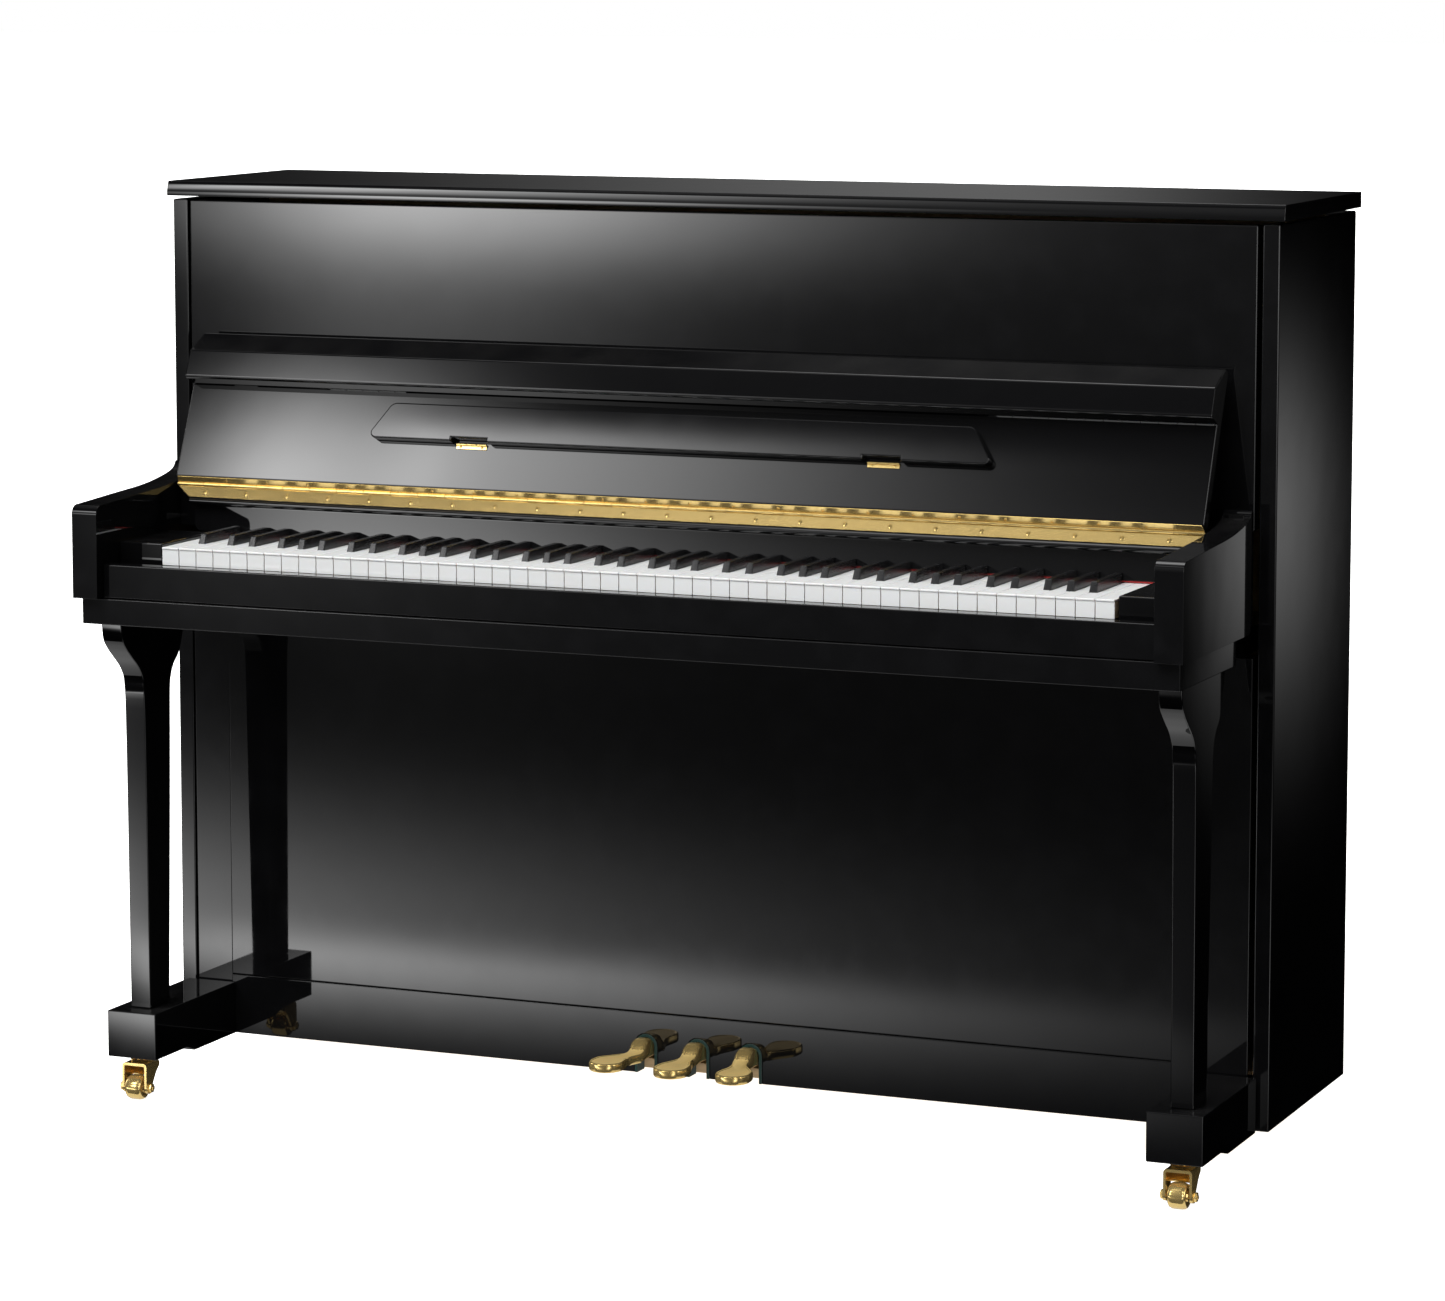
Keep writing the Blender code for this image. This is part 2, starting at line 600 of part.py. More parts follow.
def add_strung_back(spruce, plate_finish, wire):
    """Back frame with posts and pin block, soundboard, iron plate, and the strings with their pins."""
    depths = (FRAME_FRONT, FRAME_BACK)
    top = block((-FRAME_HALF, FRAME_HALF), (0.4600, FRAME_BACK), (1.0000, FRAME_TOP))
    bottom = block((-FRAME_HALF, FRAME_HALF), depths, (0.0545, 0.1600))
    posts = [block((x - POST_HALF, x + POST_HALF), depths, (0.100, 1.050)) for x in POST_XS]
    add("back_frame", combined(top, [bottom, *posts]), spruce)
    board = block((-0.7000, 0.7000), (0.4780, 0.4880), (0.0620, 0.9950))
    add("soundboard", board, spruce)
    plate = block((-0.6900, 0.6900), (0.4470, 0.4570), (0.0900, 1.1000))
    ribs = [
        block((x - 0.011, x + 0.011), (0.4300, 0.4500), (0.1200, 1.0100))
        for x in (-0.400, -0.130, 0.250, 0.520)
    ]
    ribs.append(block((-0.6700, 0.6700), (0.4320, 0.4500), (0.9900, 1.0120)))
    add("iron_plate", combined(plate, ribs), plate_finish)
    sheet = block((-0.6200, 0.6200), (0.4250, 0.4262), (0.1500, 1.0800))
    pins = [block((-0.6200, 0.6200), (0.4080, 0.4258), (z, z + 0.0070)) for z in (1.030, 1.050, 1.070)]
    add("strings", combined(sheet, pins), wire)


def add_action(wood, felt):
    """Action rack, hammers, dampers and muffler rail, all behind the front panel."""
    rail = block((-0.6300, 0.6300), (0.3080, 0.3300), (0.7750, 0.8050))
    pieces = [block((-0.6300, 0.6300), (0.3250, 0.3370), (0.8700, 0.9000))]
    for x in (-0.625, -0.210, 0.205, 0.625):
        side = [
            (0.300, 0.7200), (0.338, 0.7200), (0.338, 0.7650), (0.335, 0.9100),
            (0.322, 0.9100), (0.300, 0.8000),
        ]
        pieces.append(prism(side, x - 0.004, x + 0.004, "X"))
    add("action_rack", combined(rail, pieces), wood)
    hammer = [
        (0.342, 0.790), (0.358, 0.790), (0.360, 0.812), (0.364, 0.905), (0.386, 0.909),
        (0.388, 0.916), (0.386, 0.923), (0.350, 0.926), (0.348, 0.908), (0.358, 0.905),
        (0.352, 0.815), (0.342, 0.808),
    ]
    shape = prism(hammer, -ACTION_HALF, ACTION_HALF, "X")
    add("hammer_set", shape, felt, pivot=(0, 0.350, 0.795))
    damper = [
        (0.386, 0.790), (0.396, 0.790), (0.398, 0.858), (0.4235, 0.860), (0.4235, 0.888),
        (0.402, 0.890), (0.396, 0.880), (0.392, 0.862),
    ]
    shape = prism(damper, -ACTION_HALF, 0.360, "X")
    add("damper_set", shape, felt, pivot=(0, 0.391, 0.795))
    strip = block((-0.6000, 0.6000), (0.4060, 0.4130), (0.9600, 0.9850))
    add("muffler_rail", strip, felt, pivot=(0, 0.410, 0.970))


def clear_scene():
    """Removes what the startup scene holds."""
    for obj in list(bpy.data.objects):
        bpy.data.objects.remove(obj)


def main():
    clear_scene()
    finish = make_finishes()
    lacquer = finish["lacquer"]
    brass = finish["brass"]
    add_case(lacquer)
    add_bottom_board(finish["spruce"])
    add_key_bed_group(lacquer)
    add_nameboard(lacquer, finish["red_felt"])
    add_fallboard(lacquer)
    add("fallboard_hinge_front_leaf", hinge_leaf(FRONT_LEAF_ANGLE, FRONT_LEAF_WIDTH, 0, 0.0190), brass)
    rear_leaf = hinge_leaf(REAR_LEAF_ANGLE, REAR_LEAF_WIDTH, 1, 0.0025)
    add("fallboard_hinge_rear_leaf", rear_leaf, brass, pivot=(0, HINGE_DEPTH, HINGE_Z))
    add_music_desk(lacquer, brass)
    add_keyboard(finish["ivory_plastic"], finish["ebony_plastic"], finish["maple"])
    for name, x in PEDAL_XS.items():
        add_pedal(name, x, brass)
    for place, (x, depth) in CASTER_PLACES.items():
        add_caster(place, x, depth, brass)
    add_lid(lacquer, brass)
    add_strung_back(finish["spruce"], finish["plate_gold"], finish["steel"])
    add_action(finish["maple"], finish["white_felt"])


main()
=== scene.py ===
"""Looks of an upright piano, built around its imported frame.

Metres, +Z up. X runs from the bass side (-) to the treble side (+), and Y from the player (-) to the
wall (+). Depths are measured from the white keys' fronts towards the wall, and at() turns one into a Y.
Angles beside the fallboard hinge are measured in its own cross-section, from +Y towards +Z.
"""

import json
import math
import random

import bmesh
import bpy
from mathutils import Matrix, Vector

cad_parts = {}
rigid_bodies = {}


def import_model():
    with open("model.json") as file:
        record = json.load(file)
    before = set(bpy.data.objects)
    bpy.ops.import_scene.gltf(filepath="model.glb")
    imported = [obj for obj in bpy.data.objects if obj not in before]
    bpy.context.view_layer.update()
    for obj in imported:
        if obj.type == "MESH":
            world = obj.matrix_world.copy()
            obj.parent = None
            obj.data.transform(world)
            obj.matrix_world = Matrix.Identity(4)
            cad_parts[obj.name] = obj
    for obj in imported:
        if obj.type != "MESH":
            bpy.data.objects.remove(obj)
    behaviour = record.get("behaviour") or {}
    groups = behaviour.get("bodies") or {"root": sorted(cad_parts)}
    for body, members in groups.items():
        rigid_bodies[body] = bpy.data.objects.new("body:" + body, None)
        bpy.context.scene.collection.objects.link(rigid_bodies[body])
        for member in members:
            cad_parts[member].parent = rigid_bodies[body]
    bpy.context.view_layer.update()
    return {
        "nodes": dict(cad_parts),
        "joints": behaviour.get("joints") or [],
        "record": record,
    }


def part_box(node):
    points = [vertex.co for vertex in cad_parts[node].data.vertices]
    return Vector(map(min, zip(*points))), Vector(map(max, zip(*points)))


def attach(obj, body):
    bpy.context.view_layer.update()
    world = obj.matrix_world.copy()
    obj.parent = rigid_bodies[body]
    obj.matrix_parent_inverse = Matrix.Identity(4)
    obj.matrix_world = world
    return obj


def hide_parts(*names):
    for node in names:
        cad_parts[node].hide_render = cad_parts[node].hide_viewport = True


bl_info = {
    "name": "Upright piano",
    "version": (1, 0, 0),
    "blender": (4, 5, 0),
    "location": "3D View > Sidebar > Piano",
    "description": "Builds the lacquered case, keyboard, brass, action and strung back of an upright piano",
    "category": "Object",
}

for startup_object in list(bpy.data.objects):
    bpy.data.objects.remove(startup_object)
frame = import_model()

JOINTS = {joint["name"]: joint for joint in frame["joints"]}
BODY_OF = {node: body for body, nodes in frame["record"]["behaviour"]["bodies"].items() for node in nodes}
SLOT_OF = {row["node"]: row["material_slot"] for row in frame["record"]["subparts"]}

KEY_FRONT_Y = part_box("key_C4")[0].y
KEY_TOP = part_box("key_C4")[1].z
KEY_BOTTOM = 0.683
KEY_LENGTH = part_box("key_C4")[1].y - KEY_FRONT_Y
SHARP_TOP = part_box("key_Cs4")[1].z
KEYBOARD_WIDTH = 1.225
WHITE_KEYS = 52
KEY_PITCH = KEYBOARD_WIDTH / WHITE_KEYS
KEY_GAP = 0.0009
KEY_HEAD = 0.050
SHARP_WIDTH = 0.0098
SHARP_START = 0.050
SHARP_END = 0.143
SHARP_OFFSETS = {1: -0.0030, 3: 0.0030, 6: -0.0040, 8: 0.0, 10: 0.0040}
NOTE_NAMES = ("C", "Cs", "D", "Ds", "E", "F", "Fs", "G", "Gs", "A", "As", "B")
FIRST_NOTE = 9
NOTES = 88

HINGE_DEPTH = JOINTS["fallboard_hinge"]["pos_m"][1] - KEY_FRONT_Y
HINGE_Z = JOINTS["fallboard_hinge"]["pos_m"][2]
HINGE_HALF = 0.6714
KNUCKLE_RADIUS = 0.0024
KNUCKLES = 36
LEAF_SET_BACK = 0.0006
LEAF_THICKNESS = 0.0012
REAR_LEAF_ANGLE = math.radians(123)
FRONT_LEAF_ANGLE = math.radians(242)
LEAF_SEAT = LEAF_SET_BACK + LEAF_THICKNESS + 0.0003
FALLBOARD_LEAN = math.radians(23.2)
SMALL_SCREW = 0.0021


# ---------------------------------------------------------------------------------------------
# Settings that a user may change


def length(name, description, default):
    """A size in metres, for the panel."""
    return bpy.props.FloatProperty(
        name=name, description=description, default=default, min=0.0, precision=4, unit="LENGTH"
    )


def colour(name, description, default):
    """A finish's colour, for the panel."""
    return bpy.props.FloatVectorProperty(
        name=name, description=description, default=default, min=0.0, max=1.0, size=3, subtype="COLOR"
    )


class PianoSizes(bpy.types.PropertyGroup):
    """Sizes of the details that are added to the frame"""

    edge_round: length("Case edge", "Radius of the eased edges on the lacquered case", 0.0014)
    key_round: length("Key edge", "Radius of the eased edges on the keytops", 0.0006)
    keytop_thickness: length("Keytop", "Thickness of the white key covering", 0.0024)
    screw_pitch: length("Screw pitch", "Distance between the hinge's screws", 0.0573)
    screw_head: length("Screw head", "Radius of the hinge's screw heads", 0.0029)
    felt_thickness: length("Pedal felt", "Thickness of the felt in the pedal openings", 0.0034)
    wire_radius: length("Treble wire", "Radius of a plain steel string", 0.0006)
    wound_radius: length("Wound string", "Radius of a copper-wound bass string", 0.0015)


class PianoFinishes(bpy.types.PropertyGroup):
    """Colours of the piano's finishes"""

    lacquer: colour("Lacquer", "Polished case colour", (0.0030, 0.0030, 0.0033))
    brass: colour("Brass", "Hinges, pedals and casters", (0.84, 0.61, 0.23))
    ivory: colour("White keys", "Key covering of the naturals", (0.86, 0.86, 0.86))
    ebony: colour("Black keys", "Caps of the sharps", (0.0085, 0.0085, 0.0092))
    spruce: colour("Spruce", "Back frame and soundboard", (0.64, 0.45, 0.25))
    maple: colour("Maple", "Key sticks and action wood", (0.62, 0.47, 0.30))
    plate: colour("Iron plate", "Bronze paint on the iron plate", (0.50, 0.35, 0.13))
    red_felt: colour("Red felt", "Strip behind the keys", (0.42, 0.012, 0.012))
    green_felt: colour("Green felt", "Lining of the pedal openings", (0.004, 0.030, 0.024))
    wool: colour("Wool felt", "Hammers, dampers and practice felt", (0.78, 0.75, 0.67))


class StudioSettings(bpy.types.PropertyGroup):
    """Floor, lights and camera"""

    floor: colour("Floor", "Colour of the plain floor", (0.95, 0.95, 0.95))
    key_light: bpy.props.FloatProperty(
        name="Broad light", description="Strength of the broad light from above", default=3.7, min=0.0
    )
    soft_boxes: bpy.props.FloatProperty(
        name="Soft boxes", description="Strength of the soft boxes seen in the lacquer", default=1.0, min=0.0
    )
    lens: bpy.props.FloatProperty(
        name="Lens", description="Focal length of the camera in millimetres", default=121.46, min=1.0
    )


# ---------------------------------------------------------------------------------------------
# Shader building


def node(tree, kind, inputs=None, **settings):
    """A shader node with its settings, and its inputs set or linked."""
    made = tree.nodes.new(kind)
    for name, value in settings.items():
        setattr(made, name, value)
    for socket, value in (inputs or {}).items():
        if isinstance(value, bpy.types.NodeSocket):
            tree.links.new(value, made.inputs[socket])
        else:
            made.inputs[socket].default_value = value
    return made


def maths(tree, operation, *values):
    """The output of a Math node."""
    return node(tree, "ShaderNodeMath", dict(enumerate(values)), operation=operation).outputs[0]


def vector_maths(tree, operation, *values):
    """The outputs of a Vector Math node."""
    return node(tree, "ShaderNodeVectorMath", dict(enumerate(values)), operation=operation).outputs


def mixed(tree, factor, first, second):
    """The output of a colour mix."""
    made = node(tree, "ShaderNodeMix", data_type="RGBA")
    for place, value in ((0, factor), (6, first), (7, second)):
        if isinstance(value, bpy.types.NodeSocket):
            tree.links.new(value, made.inputs[place])
        else:
            made.inputs[place].default_value = value
    return made.outputs[2]


def remapped(tree, value, low, high, to_low=0.0, to_high=1.0):
    """The output of a clamped Map Range node."""
    inputs = {"Value": value, "From Min": low, "From Max": high, "To Min": to_low, "To Max": to_high}
    return node(tree, "ShaderNodeMapRange", inputs).outputs["Result"]


def noise(tree, **inputs):
    """Noise on the row's own metres."""
    place = node(tree, "ShaderNodeTexCoord").outputs["Object"]
    return node(tree, "ShaderNodeTexNoise", {"Vector": place, **inputs}).outputs["Fac"]


def stretched_noise(tree, stretch, detail=4.0, roughness=0.55, distortion=0.0, seed=0.0):
    """Noise on the row's own metres, with a different scale along each axis."""
    place = node(tree, "ShaderNodeTexCoord").outputs["Object"]
    shifted = vector_maths(tree, "ADD", place, (seed, seed * 0.7, seed * 1.3))[0]
    scaled = vector_maths(tree, "MULTIPLY", shifted, stretch)[0]
    inputs = {"Scale": 1.0, "Detail": detail, "Roughness": roughness, "Distortion": distortion}
    inputs["Vector"] = scaled
    return node(tree, "ShaderNodeTexNoise", inputs).outputs["Fac"]


def shader_group(name, inputs, outputs):
    """An empty shader node group, with its input sockets and output sockets."""
    tree = bpy.data.node_groups.new(name, "ShaderNodeTree")
    kinds = {1: "NodeSocketFloat", 3: "NodeSocketVector", 4: "NodeSocketColor"}
    for label, value in inputs.items():
        size = len(value) if isinstance(value, tuple) else 1
        tree.interface.new_socket(label, in_out="INPUT", socket_type=kinds[size]).default_value = value
    for label, size in outputs.items():
        tree.interface.new_socket(label, in_out="OUTPUT", socket_type=kinds[size])
    start = tree.nodes.new("NodeGroupInput").outputs
    end = tree.nodes.new("NodeGroupOutput").inputs
    return tree, start, end


def wood_grain_group():
    """Long wavy grain with fine pores. Stretch is its scale along X, Y and Z."""
    tree, given, result = shader_group(
        "Wood grain",
        {"Pale": (0.7, 0.5, 0.3, 1), "Dark": (0.4, 0.25, 0.12, 1), "Stretch": (3.0, 60.0, 60.0),
         "Contrast": 0.6},
        {"Color": 4, "Height": 1, "Roughness": 1},
    )
    rings = stretched_noise(tree, given["Stretch"], detail=3, distortion=0.9)
    finer = vector_maths(tree, "MULTIPLY", given["Stretch"], (3.0, 7.0, 7.0))[0]
    pores = stretched_noise(tree, finer, detail=5, roughness=0.7, seed=4.1)
    broad = stretched_noise(tree, (1.3, 1.3, 1.3), detail=2, seed=9.3)
    lines = remapped(tree, rings, 0.40, 0.62)
    lines = maths(tree, "MULTIPLY", lines, given["Contrast"])
    lines = maths(tree, "ADD", lines, maths(tree, "MULTIPLY", remapped(tree, pores, 0.45, 0.75), 0.35))
    lines = maths(tree, "ADD", lines, remapped(tree, broad, 0.3, 0.7, -0.12, 0.12))
    tree.links.new(mixed(tree, lines, given["Pale"], given["Dark"]), result["Color"])
    tree.links.new(maths(tree, "SUBTRACT", 1.0, lines), result["Height"])
    tree.links.new(remapped(tree, pores, 0.3, 0.8, 0.38, 0.62), result["Roughness"])
    return tree


def edge_wear_group():
    """A mask of rubbed edges: convex corners, broken up by noise."""
    tree, given, result = shader_group("Edge wear", {"Amount": 0.5, "Scale": 35.0}, {"Mask": 1})
    sharp = remapped(tree, node(tree, "ShaderNodeNewGeometry").outputs["Pointiness"], 0.52, 0.62)
    patches = noise(tree, Scale=given["Scale"], Detail=5.0)
    mask = maths(tree, "MULTIPLY", sharp, remapped(tree, patches, 0.42, 0.68))
    tree.links.new(maths(tree, "MULTIPLY", mask, given["Amount"]), result["Mask"])
    return tree


def dust_group():
    """A mask of fine dust that lies on faces turned upwards."""
    tree, given, result = shader_group("Dust", {"Amount": 0.5, "Scale": 18.0}, {"Mask": 1})
    facing = node(tree, "ShaderNodeSeparateXYZ", {0: node(tree, "ShaderNodeNewGeometry").outputs["Normal"]})
    up = remapped(tree, facing.outputs["Z"], 0.55, 1.0)
    clouds = noise(tree, Scale=given["Scale"], Detail=8.0)
    mask = maths(tree, "MULTIPLY", up, remapped(tree, clouds, 0.35, 0.75))
    tree.links.new(maths(tree, "MULTIPLY", mask, given["Amount"]), result["Mask"])
    return tree


def hairline_group():
    """Fine polishing or brushing lines. Stretch is their scale along X, Y and Z."""
    tree, given, result = shader_group(
        "Hairlines", {"Stretch": (20.0, 900.0, 900.0), "Patch scale": 6.0}, {"Mask": 1, "Height": 1}
    )
    lines = stretched_noise(tree, given["Stretch"], detail=3, roughness=0.6)
    patches = noise(tree, Scale=given["Patch scale"], Detail=3.0)
    mask = maths(tree, "MULTIPLY", remapped(tree, lines, 0.45, 0.75), remapped(tree, patches, 0.35, 0.7))
    tree.links.new(mask, result["Mask"])
    tree.links.new(lines, result["Height"])
    return tree


def fibre_group():
    """Matted wool fibres: a light and dark mottle, and their height."""
    tree, given, result = shader_group("Felt fibres", {"Scale": 900.0}, {"Mottle": 1, "Height": 1})
    fibres = noise(tree, Scale=given["Scale"], Detail=6.0, Roughness=0.75, Distortion=1.6)
    clumps = remapped(tree, noise(tree, Scale=60.0, Detail=3.0), 0.3, 0.7, 0.75, 1.0)
    tuft = remapped(tree, fibres, 0.3, 0.7, 0.70, 1.0)
    tree.links.new(maths(tree, "MULTIPLY", clumps, tuft), result["Mottle"])
    tree.links.new(fibres, result["Height"])
    return tree


GROUP_MAKERS = {
    "Wood grain": wood_grain_group,
    "Edge wear": edge_wear_group,
    "Dust": dust_group,
    "Hairlines": hairline_group,
    "Felt fibres": fibre_group,
}


def effect(tree, name, **inputs):
    """Places one of the shared effects in a material and returns its outputs."""
    group = bpy.data.node_groups.get(name) or GROUP_MAKERS[name]()
    values = {label.replace("_", " "): value for label, value in inputs.items()}
    return node(tree, "ShaderNodeGroup", values, node_tree=group).outputs


def bump(tree, height, strength, distance):
    """The normal of a Bump node."""
    inputs = {"Height": height, "Strength": strength, "Distance": distance}
    return node(tree, "ShaderNodeBump", inputs).outputs["Normal"]


def tinted(rgb, factor):
    """A colour made lighter or darker, with alpha."""
    return (*(min(1.0, channel * factor) for channel in rgb), 1.0)


def new_finish(name, **constants):
    """A material whose shader's plain sockets are set. Returns it and its tree."""
    finish = bpy.data.materials.new(name)
    finish.use_nodes = True
    tree = finish.node_tree
    shader = tree.nodes["Principled BSDF"]
    for label, value in constants.items():
        shader.inputs[label.replace("_", " ")].default_value = value
    return finish, tree


def driven(finish, base, roughness, normal):
    """Links what varies over a finish to its shader, and returns the finish."""
    tree = finish.node_tree
    shader = tree.nodes["Principled BSDF"].inputs
    for label, output in (("Base Color", base), ("Roughness", roughness), ("Normal", normal)):
        if output is not None:
            tree.links.new(output, shader[label])
    return finish


def make_lacquer(colours):
    """Black polyester, polished to a mirror: faint haze, dust on top, edges rubbed slightly paler."""
    finish, tree = new_finish("Black polyester lacquer", IOR=1.5)
    wear = effect(tree, "Edge wear", Amount=0.35, Scale=28.0)["Mask"]
    dust = effect(tree, "Dust", Amount=0.30, Scale=14.0)["Mask"]
    lines = effect(tree, "Hairlines", Stretch=(260.0, 260.0, 14.0), Patch_scale=3.0)
    base = mixed(tree, wear, tinted(colours.lacquer, 1.0), tinted(colours.lacquer, 2.6))
    dusty = mixed(tree, maths(tree, "MULTIPLY", dust, 0.04), base, (0.5, 0.48, 0.45, 1))
    haze = maths(tree, "MULTIPLY_ADD", lines["Mask"], 0.012, 0.022)
    haze = maths(tree, "ADD", haze, maths(tree, "MULTIPLY", dust, 0.10))
    ripple = stretched_noise(tree, (7.0, 7.0, 7.0), detail=2)
    return driven(
        finish, dusty,
        maths(tree, "MULTIPLY_ADD", wear, 0.10, haze), bump(tree, ripple, 0.06, 0.0012),
    )


def make_brass(colours, name="Polished brass", stretch=(30.0, 700.0, 700.0), rough=0.13, metal=0.80):
    """Polished brass with brushing lines, a little tarnish and brighter rubbed edges."""
    finish, tree = new_finish(name, Metallic=metal)
    wear = effect(tree, "Edge wear", Amount=0.7, Scale=60.0)["Mask"]
    lines = effect(tree, "Hairlines", Stretch=stretch, Patch_scale=25.0)
    tarnish = remapped(tree, stretched_noise(tree, (22.0, 22.0, 22.0), detail=4), 0.48, 0.85)
    base = mixed(tree, tarnish, tinted(colours.brass, 1.0), tinted(colours.brass, 0.80))
    dull = maths(tree, "MULTIPLY_ADD", tarnish, 0.06, rough)
    return driven(
        finish, mixed(tree, wear, base, tinted(colours.brass, 1.12)),
        maths(tree, "MULTIPLY_ADD", lines["Mask"], 0.06, dull), bump(tree, lines["Height"], 0.02, 0.00005),
    )


def make_screw_brass(colours):
    """Brass of the small screws, a shade duller than what they hold."""
    return make_brass(colours, "Screw brass", (300.0, 300.0, 300.0), 0.24, 1.0)


def make_satin_brass(colours):
    """Brass rubbed to a satin by shoe soles."""
    return make_brass(colours, "Satin brass", (700.0, 40.0, 700.0), 0.34, 0.35)


def make_ivory(colours):
    """White key covering: gloss, with faint shading from handling."""
    finish, tree = new_finish("White key covering", IOR=1.49, Subsurface_Weight=0.04)
    touched = remapped(tree, stretched_noise(tree, (40.0, 25.0, 40.0), detail=5), 0.35, 0.75)
    white = tinted(colours.ivory, 1.0)
    creamy = (colours.ivory[0] * 0.985, colours.ivory[1] * 0.975, colours.ivory[2] * 0.955, 1.0)
    lines = effect(tree, "Hairlines", Stretch=(1500.0, 60.0, 1500.0), Patch_scale=20.0)
    return driven(
        finish, mixed(tree, touched, white, creamy),
        maths(tree, "MULTIPLY_ADD", lines["Mask"], 0.12, 0.16), bump(tree, lines["Height"], 0.04, 0.0001),
    )


def make_ebony(colours):
    """Black key caps: satin, with a fine lengthwise grain."""
    finish, tree = new_finish("Black key caps", IOR=1.5)
    lines = effect(tree, "Hairlines", Stretch=(1400.0, 45.0, 1400.0), Patch_scale=15.0)
    wear = effect(tree, "Edge wear", Amount=0.5, Scale=80.0)["Mask"]
    base = mixed(tree, wear, tinted(colours.ebony, 1.0), tinted(colours.ebony, 2.2))
    return driven(
        finish, base,
        maths(tree, "MULTIPLY_ADD", lines["Mask"], 0.14, 0.24), bump(tree, lines["Height"], 0.18, 0.0002),
    )


def make_wood(name, rgb, stretch, contrast, coat=0.0):
    """Sanded or varnished wood with its grain along the axis of the smallest stretch."""
    finish, tree = new_finish(name, Coat_Weight=coat, Coat_Roughness=0.25)
    grain = effect(
        tree, "Wood grain", Pale=tinted(rgb, 1.12), Dark=tinted(rgb, 0.62), Stretch=stretch, Contrast=contrast
    )
    dust = effect(tree, "Dust", Amount=0.5, Scale=12.0)["Mask"]
    dusty = mixed(tree, maths(tree, "MULTIPLY", dust, 0.25), grain["Color"], (0.52, 0.49, 0.45, 1))
    return driven(
        finish, dusty,
        maths(tree, "MULTIPLY_ADD", dust, 0.2, grain["Roughness"]), bump(tree, grain["Height"], 0.25, 0.0004),
    )


def make_felt(name, rgb, fuzz=0.35):
    """Pressed wool felt."""
    finish, tree = new_finish(name, Sheen_Weight=fuzz, Sheen_Roughness=0.6, Roughness=0.95)
    fibres = effect(tree, "Felt fibres", Scale=900.0)
    return driven(
        finish, mixed(tree, fibres["Mottle"], tinted(rgb, 0.55), tinted(rgb, 1.08)),
        None, bump(tree, fibres["Height"], 0.6, 0.0006),
    )


def make_plate_paint(colours):
    """Bronze paint over cast iron: sand-cast skin, rubbed edges."""
    finish, tree = new_finish("Bronze-painted iron", Metallic=0.55)
    wear = effect(tree, "Edge wear", Amount=0.6, Scale=40.0)["Mask"]
    dust = effect(tree, "Dust", Amount=0.8, Scale=10.0)["Mask"]
    skin = stretched_noise(tree, (420.0, 420.0, 420.0), detail=5, roughness=0.7)
    mottle = remapped(tree, stretched_noise(tree, (9.0, 9.0, 9.0), detail=4), 0.35, 0.7)
    base = mixed(tree, mottle, tinted(colours.plate, 0.9), tinted(colours.plate, 1.15))
    base = mixed(tree, wear, base, tinted(colours.plate, 0.45))
    dusty = mixed(tree, maths(tree, "MULTIPLY", dust, 0.3), base, (0.5, 0.47, 0.42, 1))
    return driven(finish, dusty, remapped(tree, skin, 0.3, 0.7, 0.30, 0.48), bump(tree, skin, 0.35, 0.0004))


def make_metal(name, rgb, rough, stretch=(400.0, 400.0, 30.0)):
    """Drawn wire or turned steel with fine lines and a few dull spots."""
    finish, tree = new_finish(name, Metallic=1.0)
    lines = effect(tree, "Hairlines", Stretch=stretch, Patch_scale=30.0)
    spots = remapped(tree, stretched_noise(tree, (70.0, 70.0, 70.0), detail=5), 0.55, 0.8)
    return driven(
        finish, mixed(tree, spots, tinted(rgb, 1.0), tinted(rgb, 0.6)),
        maths(tree, "MULTIPLY_ADD", lines["Mask"], 0.15, rough), bump(tree, lines["Height"], 0.08, 0.0001),
    )


def make_rubber(colours):
    """Moulded black rubber of the bumpers."""
    finish, tree = new_finish("Bumper rubber", IOR=1.45)
    skin = stretched_noise(tree, (700.0, 700.0, 700.0), detail=4)
    shade = mixed(tree, skin, tinted(colours.ebony, 1.0), tinted(colours.ebony, 2.4))
    return driven(finish, shade, remapped(tree, skin, 0.3, 0.7, 0.55, 0.75), bump(tree, skin, 0.3, 0.0003))


FINISH_MAKERS = {
    "lacquer": make_lacquer,
    "brass": make_brass,
    "screw": make_screw_brass,
    "satin_brass": make_satin_brass,
    "ivory": make_ivory,
    "ebony": make_ebony,
    "key_wood": lambda c: make_wood("Key stick spruce", c.maple, (60.0, 3.0, 60.0), 0.5),
    "maple": lambda c: make_wood("Action maple", c.maple, (4.0, 70.0, 70.0), 0.4),
    "upright_maple": lambda c: make_wood("Hammer maple", c.maple, (90.0, 90.0, 6.0), 0.4),
    "spruce": lambda c: make_wood("Post spruce", c.spruce, (45.0, 45.0, 2.2), 0.75),
    "beam_spruce": lambda c: make_wood("Beam spruce", c.spruce, (2.2, 45.0, 45.0), 0.75),
    "soundboard": lambda c: make_wood("Soundboard spruce", c.spruce, (110.0, 40.0, 2.0), 0.8, 0.35),
    "plate": make_plate_paint,
    "wire": lambda c: make_metal("Steel wire", (0.62, 0.62, 0.60), 0.24),
    "copper": lambda c: make_metal("Copper winding", (0.72, 0.36, 0.20), 0.28, (60.0, 60.0, 1600.0)),
    "steel": lambda c: make_metal("Nickelled steel", (0.60, 0.59, 0.57), 0.22),
    "red_felt": lambda c: make_felt("Red felt", c.red_felt),
    "green_felt": lambda c: make_felt("Green felt", c.green_felt, 0.15),
    "wool": lambda c: make_felt("Wool felt", c.wool),
    "rubber": make_rubber,
}
finishes = {}


def finish_of(name):
    """A finish by its short name, made the first time it is asked for."""
    if name not in finishes:
        finishes[name] = FINISH_MAKERS[name](bpy.context.scene.piano_finishes)
    return finishes[name]


# ---------------------------------------------------------------------------------------------
# Mesh building


